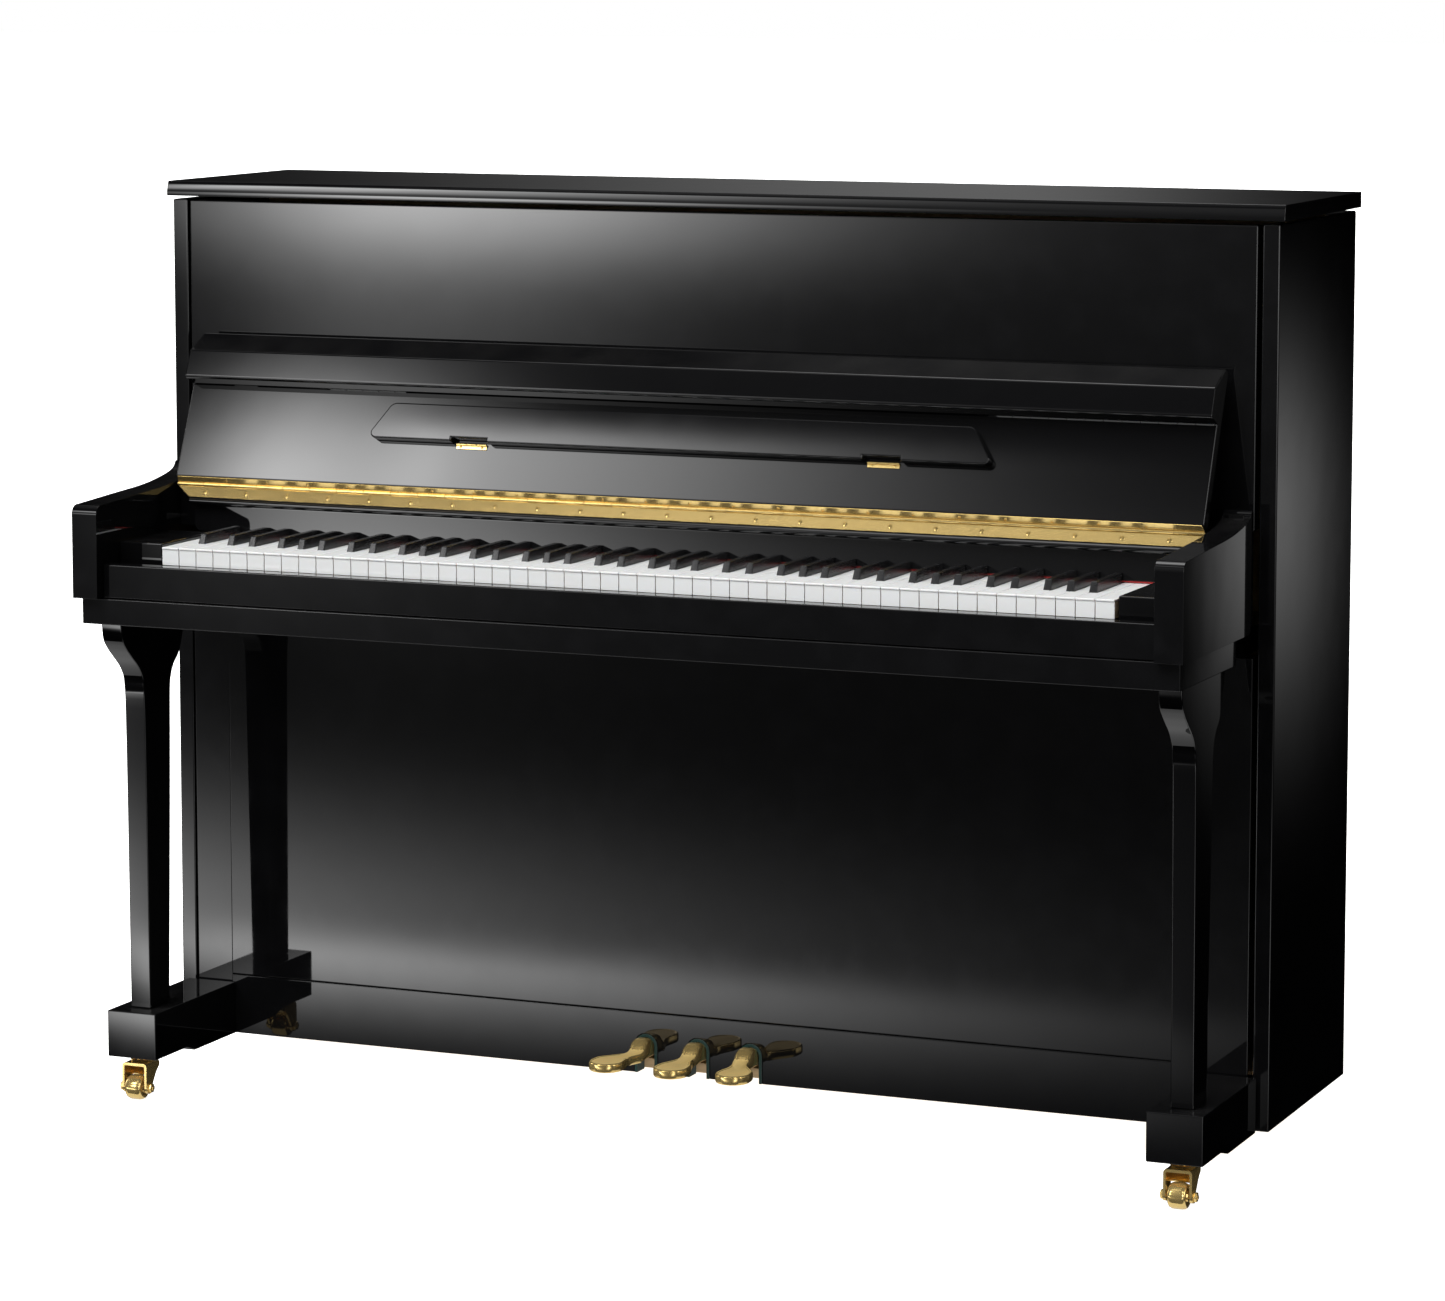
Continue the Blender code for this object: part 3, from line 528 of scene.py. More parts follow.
def at(x, depth, z):
    """A point from its X, its depth behind the white keys' fronts, and its Z."""
    return Vector((x, depth + KEY_FRONT_Y, z))


def arc(centre, radius, start, end, steps):
    """Points on an arc, ends included, with its angles in degrees."""
    angles = [math.radians(start + (end - start) * i / steps) for i in range(steps + 1)]
    return [(centre[0] + radius * math.cos(a), centre[1] + radius * math.sin(a)) for a in angles]


def loft(rings):
    """A bmesh through rings of points, each with the same count, with flat ends."""
    shape = bmesh.new()
    rows = [[shape.verts.new(point) for point in ring] for ring in rings]
    count = len(rows[0])
    for near, far in zip(rows, rows[1:]):
        for i in range(count):
            shape.faces.new((near[i], near[(i + 1) % count], far[(i + 1) % count], far[i]))
    shape.faces.new(rows[0][::-1])
    shape.faces.new(rows[-1])
    bmesh.ops.recalc_face_normals(shape, faces=shape.faces)
    return shape


def prism(outline, low, high, along):
    """A bmesh of an outline pushed along X, Y or Z. Its points are the other two coordinates in order."""
    corner = {
        "X": lambda a, b, h: at(h, a, b),
        "Y": lambda a, b, h: at(a, h, b),
        "Z": lambda a, b, h: at(a, b, h),
    }[along]
    return loft([[corner(a, b, h) for a, b in outline] for h in (low, high)])


def block(x_range, depth_range, z_range):
    """A rectangular block from its three ranges."""
    (x0, x1), (d0, d1) = x_range, depth_range
    return prism([(x0, d0), (x1, d0), (x1, d1), (x0, d1)], *z_range, "Z")


def turned(profile, centre, axis, sides=24):
    """A solid of revolution. The profile is (distance along the axis, radius), from one end to the other."""
    turn = Vector(axis).normalized().to_track_quat("Z", "Y").to_matrix()
    rings = []
    for along, radius in profile:
        ring = []
        for i in range(sides):
            a = 2 * math.pi * i / sides
            ring.append(Vector(centre) + turn @ Vector((radius * math.cos(a), radius * math.sin(a), along)))
        rings.append(ring)
    return loft(rings)


def rod(start, end, radius, sides):
    """A plain round rod between two points."""
    run = end - start
    return turned([(0, radius), (run.length, radius)], start, run, sides)


def joined(shapes):
    """One bmesh that holds several closed ones, each kept whole."""
    result = bmesh.new()
    for shape in shapes:
        mesh = bpy.data.meshes.new("part")
        shape.to_mesh(mesh)
        shape.free()
        result.from_mesh(mesh)
        bpy.data.meshes.remove(mesh)
    return result


def painted(shape, index):
    """Gives every face of a bmesh one material slot."""
    for face in shape.faces:
        face.material_index = index
    return shape


def moved(shape, matrix):
    """Moves a bmesh by a matrix."""
    bmesh.ops.transform(shape, matrix=matrix, verts=shape.verts)
    return shape


def copied(shape, matrix):
    """A moved copy of a bmesh."""
    return moved(shape.copy(), matrix)


def eased(shape, width, segments=2, angle=40):
    """Rounds the sharp edges of a bmesh."""
    limit = math.radians(angle)
    edges = [e for e in shape.edges if len(e.link_faces) == 2 and e.calc_face_angle(0) > limit]
    bmesh.ops.bevel(
        shape, geom=edges, offset=width, segments=segments, profile=0.5, affect="EDGES", clamp_overlap=True
    )
    return shape


def combined(first, others, operation="UNION"):
    """One closed bmesh from several, by exact Booleans."""
    helpers = []
    for shape in (first, *others):
        mesh = bpy.data.meshes.new("helper")
        shape.to_mesh(mesh)
        shape.free()
        helpers.append(placed("helper", mesh))
    for other in helpers[1:]:
        cutter = helpers[0].modifiers.new("Boolean", "BOOLEAN")
        cutter.operation = operation
        cutter.object = other
    result = bmesh.new()
    result.from_object(helpers[0], bpy.context.evaluated_depsgraph_get())
    for helper in helpers:
        bpy.data.objects.remove(helper)
    bmesh.ops.remove_doubles(result, verts=result.verts, dist=1e-6)
    bmesh.ops.dissolve_limit(result, angle_limit=math.radians(0.3), verts=result.verts, edges=result.edges)
    return result


def placed(name, data):
    """Adds an object to the scene."""
    made = bpy.data.objects.new(name, data)
    bpy.context.scene.collection.objects.link(made)
    return made


def piece(name, shape, finish_names, body, replaces=(), bevel=0.0, smooth=42):
    """Adds a bmesh as a finished piece that rides on a body: eased, smoothly shaded and painted."""
    mesh = bpy.data.meshes.new(name)
    shape.to_mesh(mesh)
    shape.free()
    names = [finish_names] if isinstance(finish_names, str) else finish_names
    for finish in names:
        mesh.materials.append(finish_of(finish))
    made = placed(name, mesh)
    if bevel:
        edges = made.modifiers.new("Eased edges", "BEVEL")
        edges.width = bevel
        edges.segments = 3
        edges.limit_method = "ANGLE"
        edges.angle_limit = math.radians(48)
        edges.harden_normals = False
    made.data = settled(made)
    made.data.shade_smooth()
    made.data.set_sharp_from_angle(angle=math.radians(smooth))
    weigh = made.modifiers.new("Flat faces stay flat", "WEIGHTED_NORMAL")
    weigh.keep_sharp = True
    weigh.weight = 80
    made.data = settled(made)
    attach(made, body)
    if replaces:
        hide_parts(*replaces)


def settled(obj):
    """The mesh of an object with its modifiers applied. They are then removed."""
    graph = bpy.context.evaluated_depsgraph_get()
    shaped = obj.evaluated_get(graph)
    mesh = bpy.data.meshes.new_from_object(shaped, preserve_all_data_layers=True, depsgraph=graph)
    obj.modifiers.clear()
    old = obj.data
    mesh.name = obj.name
    obj.data = mesh
    if old.users == 0:
        bpy.data.meshes.remove(old)
    return mesh


def node_shape(name):
    """A welded bmesh of a CAD node, with its flat faces whole again."""
    shape = bmesh.new()
    shape.from_mesh(frame["nodes"][name].data)
    for layer in list(shape.loops.layers.uv.values()):
        shape.loops.layers.uv.remove(layer)
    bmesh.ops.remove_doubles(shape, verts=shape.verts, dist=1e-6)
    bmesh.ops.dissolve_limit(shape, angle_limit=math.radians(0.3), verts=shape.verts, edges=shape.edges)
    painted(shape, 0)
    return shape


def stand_in(name, suffix, shape, finish_names, bevel=0.0, smooth=42):
    """A finished piece that stands for a CAD node and rides on that node's body."""
    piece(f"{name}_{suffix}", shape, finish_names, BODY_OF[name], [name], bevel, smooth)


# ---------------------------------------------------------------------------------------------
# Case

SIDES = (("left", -1), ("right", 1))
LID_HALF = 0.7346
LID_BOTTOM = 1.1210
LID_TOP = 1.1400
ARM_SPAN = (0.675, 0.709)
LEG_SPAN = (0.667, 0.695)
TOE_TOP = 0.1143
FALLBOARD_HALF = 0.6715
NAMEBOARD_HALF = 0.6712
SHELF_HALF = 0.6745
DESK_HINGE_X = 0.270
KEY_TAIL = 0.1450


def from_hinge(angle, along, behind):
    """A point beside the fallboard hinge: along a leaf's direction, and behind its middle plane."""
    side = -1 if angle < math.pi else 1
    return (
        HINGE_DEPTH + along * math.cos(angle) - side * behind * math.sin(angle),
        HINGE_Z + along * math.sin(angle) + side * behind * math.cos(angle),
    )


def fallboard_point(up, back):
    """A point of the open fallboard: up its inner face from the lower edge, and back through it."""
    low_depth, low_z = from_hinge(REAR_LEAF_ANGLE, 0.0115, LEAF_SEAT)
    return (
        low_depth + up * math.sin(FALLBOARD_LEAN) + back * math.cos(FALLBOARD_LEAN),
        low_z + up * math.cos(FALLBOARD_LEAN) - back * math.sin(FALLBOARD_LEAN),
    )


def curve_through(points, steps=6):
    """Points of a smooth curve through the given ones."""
    padded = [points[0], *points, points[-1]]
    result = []
    for p0, p1, p2, p3 in zip(padded, padded[1:], padded[2:], padded[3:]):
        for i in range(steps):
            t = i / steps
            result.append(tuple(
                0.5 * (2 * b + (c - a) * t + (2 * a - 5 * b + 4 * c - d) * t**2
                       + (3 * b - a - 3 * c + d) * t**3)
                for a, b, c, d in zip(p0, p1, p2, p3)
            ))
    return [*result, points[-1]]


def screw(place, outward, radius, dome=0.0005):
    """A countersunk screw head with a cross slot, just proud of a surface."""
    depth = 0.45 * radius
    profile = [(-depth, radius * 0.9), (0.0, radius)]
    profile += [(dome * math.sin(a), radius * math.cos(a)) for a in (0.35, 0.7, 1.1, 1.5)]
    head = turned(profile, (0, 0, 0), (0, 0, 1), sides=20)
    arms = []
    for turn in (0, 90):
        arm = bmesh.new()
        bmesh.ops.create_cube(arm, size=1.0)
        bmesh.ops.scale(arm, vec=(radius * 1.25, radius * 0.26, dome + depth * 0.7), verts=arm.verts)
        bmesh.ops.translate(arm, vec=(0, 0, dome * 0.6), verts=arm.verts)
        arms.append(moved(arm, Matrix.Rotation(math.radians(turn + 20), 4, "Z")))
    head = combined(head, arms, "DIFFERENCE")
    turn = Vector(outward).normalized().to_track_quat("Z", "Y").to_matrix().to_4x4()
    return moved(head, Matrix.Translation(place) @ turn)


def mirrored(x_range, sign):
    """An X range on the chosen side of the middle."""
    return tuple(sorted(sign * x for x in x_range))


def make_lid(edge):
    """Top lid: its front edge is upright at the bottom and rolls back above."""
    front = [(0.2402, LID_BOTTOM), (0.2400, 1.1225), (0.2400, 1.1262)]
    front += curve_through([(0.2400, 1.1262), (0.2406, 1.1300), (0.2422, 1.1355), (0.2440, 1.1398)], 5)[1:]
    back = [(0.5655, LID_TOP), (0.5655, LID_BOTTOM)]
    shape = prism(front + back, -LID_HALF, LID_HALF, "X")
    stand_in("top_lid", "lacquered", shape, "lacquer", edge * 0.7, 30)


def make_arm(side, sign, edge):
    """Arm beside the keyboard: rounded front corner, a gently rising top that curls up at the case."""
    nose = arc((-0.0385, 0.7465), 0.0115, 180, 98, 12)
    top = curve_through([
        (-0.0401, 0.7579), (-0.020, 0.7588), (0.050, 0.7622), (0.120, 0.7655), (0.162, 0.7702),
        (0.190, 0.7755), (0.2020, 0.7802), (0.2075, 0.7868),
    ])
    heel = arc((0.1995, 0.6525), 0.0090, 0, -90, 8)
    outline = [(-0.050, 0.6435), *nose, *top[1:], (0.2085, 0.7880), *heel]
    body = prism(outline, *mirrored(ARM_SPAN, sign), "X")
    tongue = block(mirrored((0.677, 0.7015), sign), (0.200, 0.2405), (0.650, 0.783))
    shape = combined(body, [tongue])
    stand_in(f"{side}_arm", "lacquered", shape, "lacquer", edge * 1.3)


def make_leg(side, sign, edge):
    """Leg that sweeps out to the key bed at its top."""
    front = curve_through([
        (-0.007, 0.6105), (-0.0035, 0.588), (0.005, 0.576), (0.018, 0.564), (0.034, 0.550),
        (0.044, 0.536), (0.047, 0.5225), (0.049, 0.494), (0.051, 0.373), (0.0535, TOE_TOP),
    ], 5)
    back = curve_through([
        (0.159, 0.6105), (0.148, 0.580), (0.138, 0.555), (0.124, 0.5415), (0.117, 0.529), (0.114, 0.514),
        (0.113, 0.486), (0.110, 0.365), (0.102, TOE_TOP),
    ], 5)
    shape = prism(front + back[::-1], *mirrored(LEG_SPAN, sign), "X")
    stand_in(f"{side}_leg", "lacquered", shape, "lacquer", edge)


def make_leg_fixings(side, sign):
    """A dowel cap under the key bed's corner, and two bolts that hold each toe block to the case."""
    cap = turned(
        [(0, 0.0050), (0.0006, 0.0058), (0.0022, 0.0058), (0.0030, 0.0045), (0.0032, 0.0005)],
        at(sign * 0.650, 0.040, 0.6112), (0, 0, -1),
    )
    bolts = [cap]
    for depth in (0.150, 0.215):
        bolts.append(turned(
            [(0, 0.0095), (0.0016, 0.0095), (0.0022, 0.0085), (0.0022, 0.0062), (0.0050, 0.0062),
             (0.0056, 0.0055), (0.0056, 0.0010)], at(sign * 0.680, depth, 0.0476), (0, 0, -1),
        ))
    piece(f"{side}_leg_fixings", joined(bolts), "steel", "cabinet", smooth=35)


def make_pedal_felts(thickness):
    """Green felt that lines the three arched openings of the pedal rail."""
    for pedal, x in PEDALS.items():
        half, top, low = 0.0149, 0.0969, 0.0478
        outer = [(x + half, low), *arc((x, top - 0.015), half, 0, 180, 20), (x - half, low)]
        inner_half = half - thickness
        inner = [(x - inner_half, low), *arc((x, top - 0.015), inner_half, 180, 0, 20), (x + inner_half, low)]
        shape = prism(outer + inner, 0.2350, 0.2570, "Y")
        piece(f"{pedal}_opening_felt", shape, "green_felt", "cabinet")


class PIANO_OT_case(bpy.types.Operator):
    """Side panels, stiles, front panels, lid, key bed, arms, key slip and blocks, legs and toe blocks"""

    bl_idname = "piano.case"
    bl_label = "Lacquered case"

    def execute(self, context):
        edge = context.scene.piano_sizes.edge_round
        for name in (
            "left_side_panel", "right_side_panel", "left_stile", "right_stile", "upper_panel", "lower_panel",
            "key_bed", "key_slip", "left_key_block", "right_key_block", "left_toe_block", "right_toe_block",
        ):
            stand_in(name, "lacquered", node_shape(name), "lacquer", smooth=50)
        stand_in("pedal_rail", "lacquered", node_shape("pedal_rail"), "lacquer", edge, 50)
        for side, sign in SIDES:
            make_arm(side, sign, edge)
            make_leg(side, sign, edge)
            make_leg_fixings(side, sign)
        make_pedal_felts(context.scene.piano_sizes.felt_thickness)
        make_lid(edge)
        return {"FINISHED"}


def make_fallboard(edge):
    """The key cover, with a thick lip that rounds over into its outer face."""
    outline = [(0, 0), (0.1195, 0), (0.1208, -0.0012), *arc((0.1250, -0.0212), 0.0038, 180, 270, 6)]
    outline += arc((0.1560, -0.0210), 0.0040, 270, 320, 6)
    outline += arc((0.1820, 0.0075), 0.0085, -52, 90, 16)
    outline += [(-0.0047, 0.0160), (-0.0047, 0.0071)]
    shape = prism([fallboard_point(up, back) for up, back in outline], -FALLBOARD_HALF, FALLBOARD_HALF, "X")
    stand_in("fallboard", "lacquered", shape, "lacquer", edge, 30)


def make_desk(edge):
    """The folded music desk with rounded corners, and its two hinges."""
    foot, top, thick = 0.0570, 0.1030, 0.0130
    right = [(DESK_HINGE_X - 0.024, foot), (DESK_HINGE_X - 0.024, foot + 0.0045)]
    right += [(DESK_HINGE_X + 0.024, foot + 0.0045), (DESK_HINGE_X + 0.024, foot)]
    right += arc((0.398, foot + 0.007), 0.007, -90, 18, 8)
    right += arc((0.374, top - 0.0135), 0.0135, 24, 90, 12)
    left = [(-x, up) for x, up in right[::-1]]
    outline = right + left
    rings = [[at(x, *fallboard_point(up, back)) for x, up in outline] for back in (-thick - 0.0008, -0.0008)]
    stand_in("music_desk", "lacquered", loft(rings), "lacquer", edge * 1.4)
    outward = at(0, *fallboard_point(0, -1)) - at(0, *fallboard_point(0, 0))
    for side, sign in SIDES:
        x = sign * DESK_HINGE_X
        plate = [fallboard_point(up, back) for up, back in (
            (0.0505, -0.0003), (0.0560, -0.0003), (0.0560, -0.0013), (0.0505, -0.0013),
        )]
        parts = [eased(prism(plate, x - 0.0205, x + 0.0205, "X"), 0.0003)]
        barrel = at(0, *fallboard_point(0.056, -0.0020))
        for low in (-0.0205, -0.0067, 0.0071):
            parts.append(turned(
                [(0, 0.0011), (0.0003, 0.0015), (0.0131, 0.0015), (0.0134, 0.0011)],
                (x + low, barrel.y, barrel.z), (1, 0, 0), 16,
            ))
        for shift in (-0.0145, 0.0145):
            head = screw(at(x + shift, *fallboard_point(0.0530, -0.0013)), outward, 0.0017)
            parts.append(painted(head, 1))
        stand_in(f"{side}_music_desk_hinge", "detailed", joined(parts), ["brass", "screw"])


def make_nameboard(edge):
    """The strip behind the keys: a slope for the hinge, a rounded nose and a face that leans back."""
    nose = arc((0.1415, 0.7452), 0.0038, 118, 270, 12)
    outline = [from_hinge(FRONT_LEAF_ANGLE, along, LEAF_SEAT) for along in (0.0035, 0.0166)] + nose
    outline += [(0.1487, 0.7405), (0.1487, 0.7390), (0.1440, 0.7080), (0.1780, 0.7080), (0.1780, 0.7640)]
    outline += [(0.1502, 0.7640)]
    strip = prism(outline, -NAMEBOARD_HALF, NAMEBOARD_HALF, "X")
    ends = [(NAMEBOARD_HALF, 0.7700), (NAMEBOARD_HALF, 0.7625), (0.6525, 0.7505), (0.6475, 0.7400)]
    ends += arc((0.6365, 0.7185), 0.0105, 0, -90, 12)
    front = prism(ends + [(-x, z) for x, z in ends[::-1]], 0.10, 0.20, "Y")
    rail = block((-SHELF_HALF, SHELF_HALF), (0.1600, 0.1780), (0.7125, 0.7640))
    shape = combined(combined(strip, [front], "INTERSECT"), [rail])
    stand_in("nameboard", "lacquered", shape, "lacquer", edge * 0.5)


def make_bumpers():
    """Round rubber bumpers on the back of the fallboard's lip, where it rests on the upper panel."""
    outward = at(0, *fallboard_point(0, 1)) - at(0, *fallboard_point(0, 0))
    for side, sign in SIDES:
        place = at(sign * 0.560, *fallboard_point(0.120, 0.0160))
        profile = [(0, 0.0070), (0.0022, 0.0070), (0.0032, 0.0062), (0.0036, 0.0040), (0.0036, 0.0005)]
        bumper = turned(profile, place, outward)
        piece(f"{side}_fallboard_bumper", bumper, "rubber", "fallboard")


class PIANO_OT_fallboard(bpy.types.Operator):
    """Fallboard with its rounded lip, music desk and nameboard"""

    bl_idname = "piano.fallboard"
    bl_label = "Fallboard and music desk"

    def execute(self, context):
        edge = context.scene.piano_sizes.edge_round
        make_fallboard(edge)
        make_desk(edge)
        make_nameboard(edge)
        make_bumpers()
        shelf = eased(block((-SHELF_HALF, SHELF_HALF), (0.1785, 0.2405), (0.7500, 0.7630)), edge)
        piece("fallboard_shelf_lacquered", shelf, "lacquer", "cabinet")
        return {"FINISHED"}


def make_leaf(side, angle, width, first, mitre, stagger, head_radius, screw_pitch):
    """One leaf with every second knuckle rolled round the pin, and a row of screws."""
    near = KNUCKLE_RADIUS * 0.6
    corners = [from_hinge(angle, along, behind) for along, behind in (
        (near, LEAF_SET_BACK), (width, LEAF_SET_BACK),
        (width, LEAF_SET_BACK + LEAF_THICKNESS), (near, LEAF_SET_BACK + LEAF_THICKNESS),
    )]
    plate = prism(corners, -HINGE_HALF, HINGE_HALF, "X")
    for vertex in plate.verts:
        depth, z = vertex.co.y - KEY_FRONT_Y, vertex.co.z
        reach = (depth - HINGE_DEPTH) * math.cos(angle) + (z - HINGE_Z) * math.sin(angle)
        vertex.co.x -= math.copysign(mitre * max(0.0, reach - near) / (width - near), vertex.co.x)
    pitch = 2 * HINGE_HALF / KNUCKLES
    notches = []
    knuckles = []
    for i in range(KNUCKLES):
        low = -HINGE_HALF + i * pitch
        if i % 2 != first:
            corners = [from_hinge(angle, along, behind) for along, behind in (
                (-0.004, -0.002), (KNUCKLE_RADIUS + 0.0001, -0.002),
                (KNUCKLE_RADIUS + 0.0001, 0.004), (-0.004, 0.004),
            )]
            notches.append(prism(corners, low, low + pitch, "X"))
            continue
        profile = [(0.0002, 0.0012), (0.0002, KNUCKLE_RADIUS - 0.0003), (0.0005, KNUCKLE_RADIUS)]
        profile += [(pitch - along, radius) for along, radius in profile[::-1]]
        knuckles.append(turned(profile, at(low, HINGE_DEPTH, HINGE_Z), (1, 0, 0), 24))
    plate = eased(combined(plate, notches, "DIFFERENCE"), 0.0002, 1)
    along = 0.62 * width
    place = at(0, *from_hinge(angle, along, LEAF_SET_BACK))
    outward = place - at(0, *from_hinge(angle, along, 2 * LEAF_SET_BACK))
    head = painted(screw(place, outward, head_radius), 1)
    reach = HINGE_HALF - 0.015
    count = int(reach / screw_pitch)
    screws = [
        copied(head, Matrix.Translation(((i + stagger) * screw_pitch, 0, 0)))
        for i in range(-count, count + 1) if abs(i + stagger) * screw_pitch < reach
    ]
    head.free()
    parts = [plate, *knuckles, *screws]
    stand_in(f"fallboard_hinge_{side}_leaf", "detailed", joined(parts), ["brass", "screw"])


def make_lid_hinge():
    """The hinge along the back of the frame, with its knuckles and screws."""
    axis_depth, axis_z = 0.5640, 1.1187
    parts = [block((-0.690, 0.690), (0.5500, 0.5655), (1.1168, 1.1178))]
    count = 46
    pitch = 1.380 / count
    for i in range(count):
        profile = [(0.0002, 0.0010), (0.0004, 0.0017), (pitch - 0.0004, 0.0017), (pitch - 0.0002, 0.0010)]
        parts.append(turned(profile, at(-0.690 + i * pitch, axis_depth, axis_z), (1, 0, 0), 14))
    head = painted(screw(at(0, 0.5560, 1.1178), (0, 0, 1), SMALL_SCREW), 1)
    parts += [copied(head, Matrix.Translation((x * 0.098, 0, 0))) for x in range(-6, 7)]
    head.free()
    stand_in("lid_hinge", "detailed", joined(parts), ["brass", "screw"])


class PIANO_OT_hinge(bpy.types.Operator):
    """Long brass hinge of the fallboard, with its screws, and the lid's hinge"""

    bl_idname = "piano.hinge"
    bl_label = "Brass hinges"

    def execute(self, context):
        sizes = context.scene.piano_sizes
        make_leaf("front", FRONT_LEAF_ANGLE, 0.0166, 0, 0.0190, 0.0, sizes.screw_head, sizes.screw_pitch)
        make_leaf("rear", REAR_LEAF_ANGLE, 0.0112, 1, 0.0025, 0.5, SMALL_SCREW, sizes.screw_pitch)
        pin = turned([(-HINGE_HALF + 0.0003, 0.0010), (HINGE_HALF - 0.0003, 0.0010)],
                     at(0, HINGE_DEPTH, HINGE_Z), (1, 0, 0), 12)
        piece("fallboard_hinge_pin", pin, "steel", "cabinet")
        make_lid_hinge()
        return {"FINISHED"}


def key_edges():
    """Each key as (name, is_sharp, left edge, right edge), in X, from the lowest note up."""
    keys = []
    edge = -KEYBOARD_WIDTH / 2
    for note in range(FIRST_NOTE, FIRST_NOTE + NOTES):
        name = f"{NOTE_NAMES[note % 12]}{note // 12}"
        if note % 12 in SHARP_OFFSETS:
            centre = edge + SHARP_OFFSETS[note % 12]
            keys.append((name, True, centre - SHARP_WIDTH / 2, centre + SHARP_WIDTH / 2))
        else:
            keys.append((name, False, edge, edge + KEY_PITCH))
            edge += KEY_PITCH
    return keys


def tail(keys, place):
    """The left and right edge of a key behind its head."""
    _, sharp, left, right = keys[place]
    if sharp:
        return left, right
    left += KEY_GAP / 2
    right -= KEY_GAP / 2
    if place > 0 and keys[place - 1][1]:
        left = keys[place - 1][3] + KEY_GAP
    if place + 1 < len(keys) and keys[place + 1][1]:
        right = keys[place + 1][2] - KEY_GAP
    return left, right


def natural_key(keys, place, sizes):
    """A white key: a covered top that overhangs its front plate, and a wooden stick."""
    left = keys[place][2] + KEY_GAP / 2
    right = keys[place][3] - KEY_GAP / 2
    tail_left, tail_right = tail(keys, place)
    shoulder = KEY_HEAD - KEY_GAP
    outline = [(left, 0), (right, 0), (right, shoulder)]
    outline += [(tail_right, shoulder)] if tail_right < right else []
    outline += [(tail_right, KEY_TAIL), (tail_left, KEY_TAIL)]
    outline += [(tail_left, shoulder)] if tail_left > left else []
    outline += [(left, shoulder)]
    low = KEY_TOP - sizes.keytop_thickness
    top = eased(prism(outline, low, KEY_TOP, "Z"), sizes.key_round, 2)
    front = eased(block((left, right), (0.0009, 0.0026), (KEY_BOTTOM, low)), 0.0003, 1)
    stick = block((left + 0.0008, right - 0.0008), (0.0026, shoulder - 0.0003), (KEY_BOTTOM, low))
    back = block((tail_left + 0.0003, tail_right - 0.0003), (shoulder, KEY_LENGTH), (KEY_BOTTOM, low))
    return [top, front, painted(stick, 1), painted(back, 1)]


def sharp_key(keys, place, sizes):
    """A black key: a tapered cap with a rounded top and a sloping front, on a wooden stick."""
    _, _, left, right = keys[place]
    centre = (left + right) / 2
    rings = []
    for z, half, start, end in (
        (KEY_TOP - 0.0060, 0.0049, SHARP_START, SHARP_END),
        (KEY_TOP - 0.0010, 0.0049, SHARP_START, SHARP_END),
        (SHARP_TOP, 0.0041, SHARP_START + 0.0058, SHARP_END - 0.0006),
    ):
        corners = ((-half, start), (half, start), (half, end), (-half, end))
        rings.append([at(centre + across, depth, z) for across, depth in corners])
    cap = loft(rings)
    top = [edge for edge in cap.edges if min(v.co.z for v in edge.verts) > KEY_TOP - 0.0011]
    bmesh.ops.bevel(cap, geom=top, offset=0.0013, segments=4, profile=0.5, affect="EDGES", clamp_overlap=True)
    heights = (KEY_BOTTOM, KEY_TOP - 0.0062)
    stick = block((left + 0.0002, right - 0.0002), (SHARP_START + 0.001, KEY_LENGTH), heights)
    return [cap, painted(stick, 1)]


def make_key_frame():
    """The frame under the keys: three rails, two of them with felts, and cross slats."""
    across, low = (-0.6130, 0.6130), 0.6433
    wood = [
        block(across, depths, (low, top))
        for depths, top in (((0.015, 0.060), 0.668), ((0.195, 0.235), 0.6735), ((0.360, 0.395), 0.6790))
    ]
    wood += [block((x - 0.02, x + 0.02), (0.060, 0.360), (low, 0.652)) for x in (-0.5, 0, 0.5)]
    felt = [
        painted(block(across, depths, heights), 1)
        for depths, heights in (((0.360, 0.395), (0.6790, 0.6825)), ((0.022, 0.050), (0.668, 0.6700)))
    ]
    parts = [eased(shape, 0.0008, 1) for shape in wood] + felt
    stand_in("key_frame", "built_up", joined(parts), ["maple", "red_felt"])


def make_felt_strip():
    """The red felt between the keys' tails and the nameboard."""
    outline = [(0.1452, 0.7056), (0.1560, 0.7056), (0.1560, 0.7077)]
    outline += arc((0.1460, 0.7069), 0.0008, 90, 180, 5)
    shape = prism(outline, -0.6125, 0.6125, "X")
    stand_in("nameboard_felt", "strip", shape, "red_felt")


class PIANO_OT_keyboard(bpy.types.Operator):
    """All 88 keys with covered tops, the key frame and the red felt"""

    bl_idname = "piano.keyboard"
    bl_label = "Keyboard"

    def execute(self, context):
        sizes = context.scene.piano_sizes
        keys = key_edges()
        banks = {}
        for place, (name, sharp, _, _) in enumerate(keys):
            shapes = sharp_key(keys, place, sizes) if sharp else natural_key(keys, place, sizes)
            half = "bass" if place < NOTES // 2 else "treble"
            bank = f"{half}_{'sharps' if sharp else 'naturals'}"
            banks.setdefault(f"key_{name}" if f"key_{name}" in SLOT_OF else bank, []).extend(shapes)
        for name, shapes in banks.items():
            cover = "ebony" if SLOT_OF[name] == "black_keys" else "ivory"
            stand_in(name, "covered", joined(shapes), [cover, "key_wood"], smooth=35)
        make_key_frame()
        make_felt_strip()
        return {"FINISHED"}


PEDALS = {"left": -0.070, "middle": 0.0, "right": 0.070}
PEDAL_TOES = {"left": -0.016, "middle": 0.0, "right": 0.012}


def toe_shift(name, depth):
    """How far sideways a pedal's toe end stands from its hood, at a depth."""
    share = min(1.0, max(0.0, (0.206 - depth) / 0.040))
    return PEDAL_TOES[name] * share * share * (3 - 2 * share)


PEDAL_PLATE_DEPTH = 0.152
PEDAL_PLATE_HALF = 0.0215


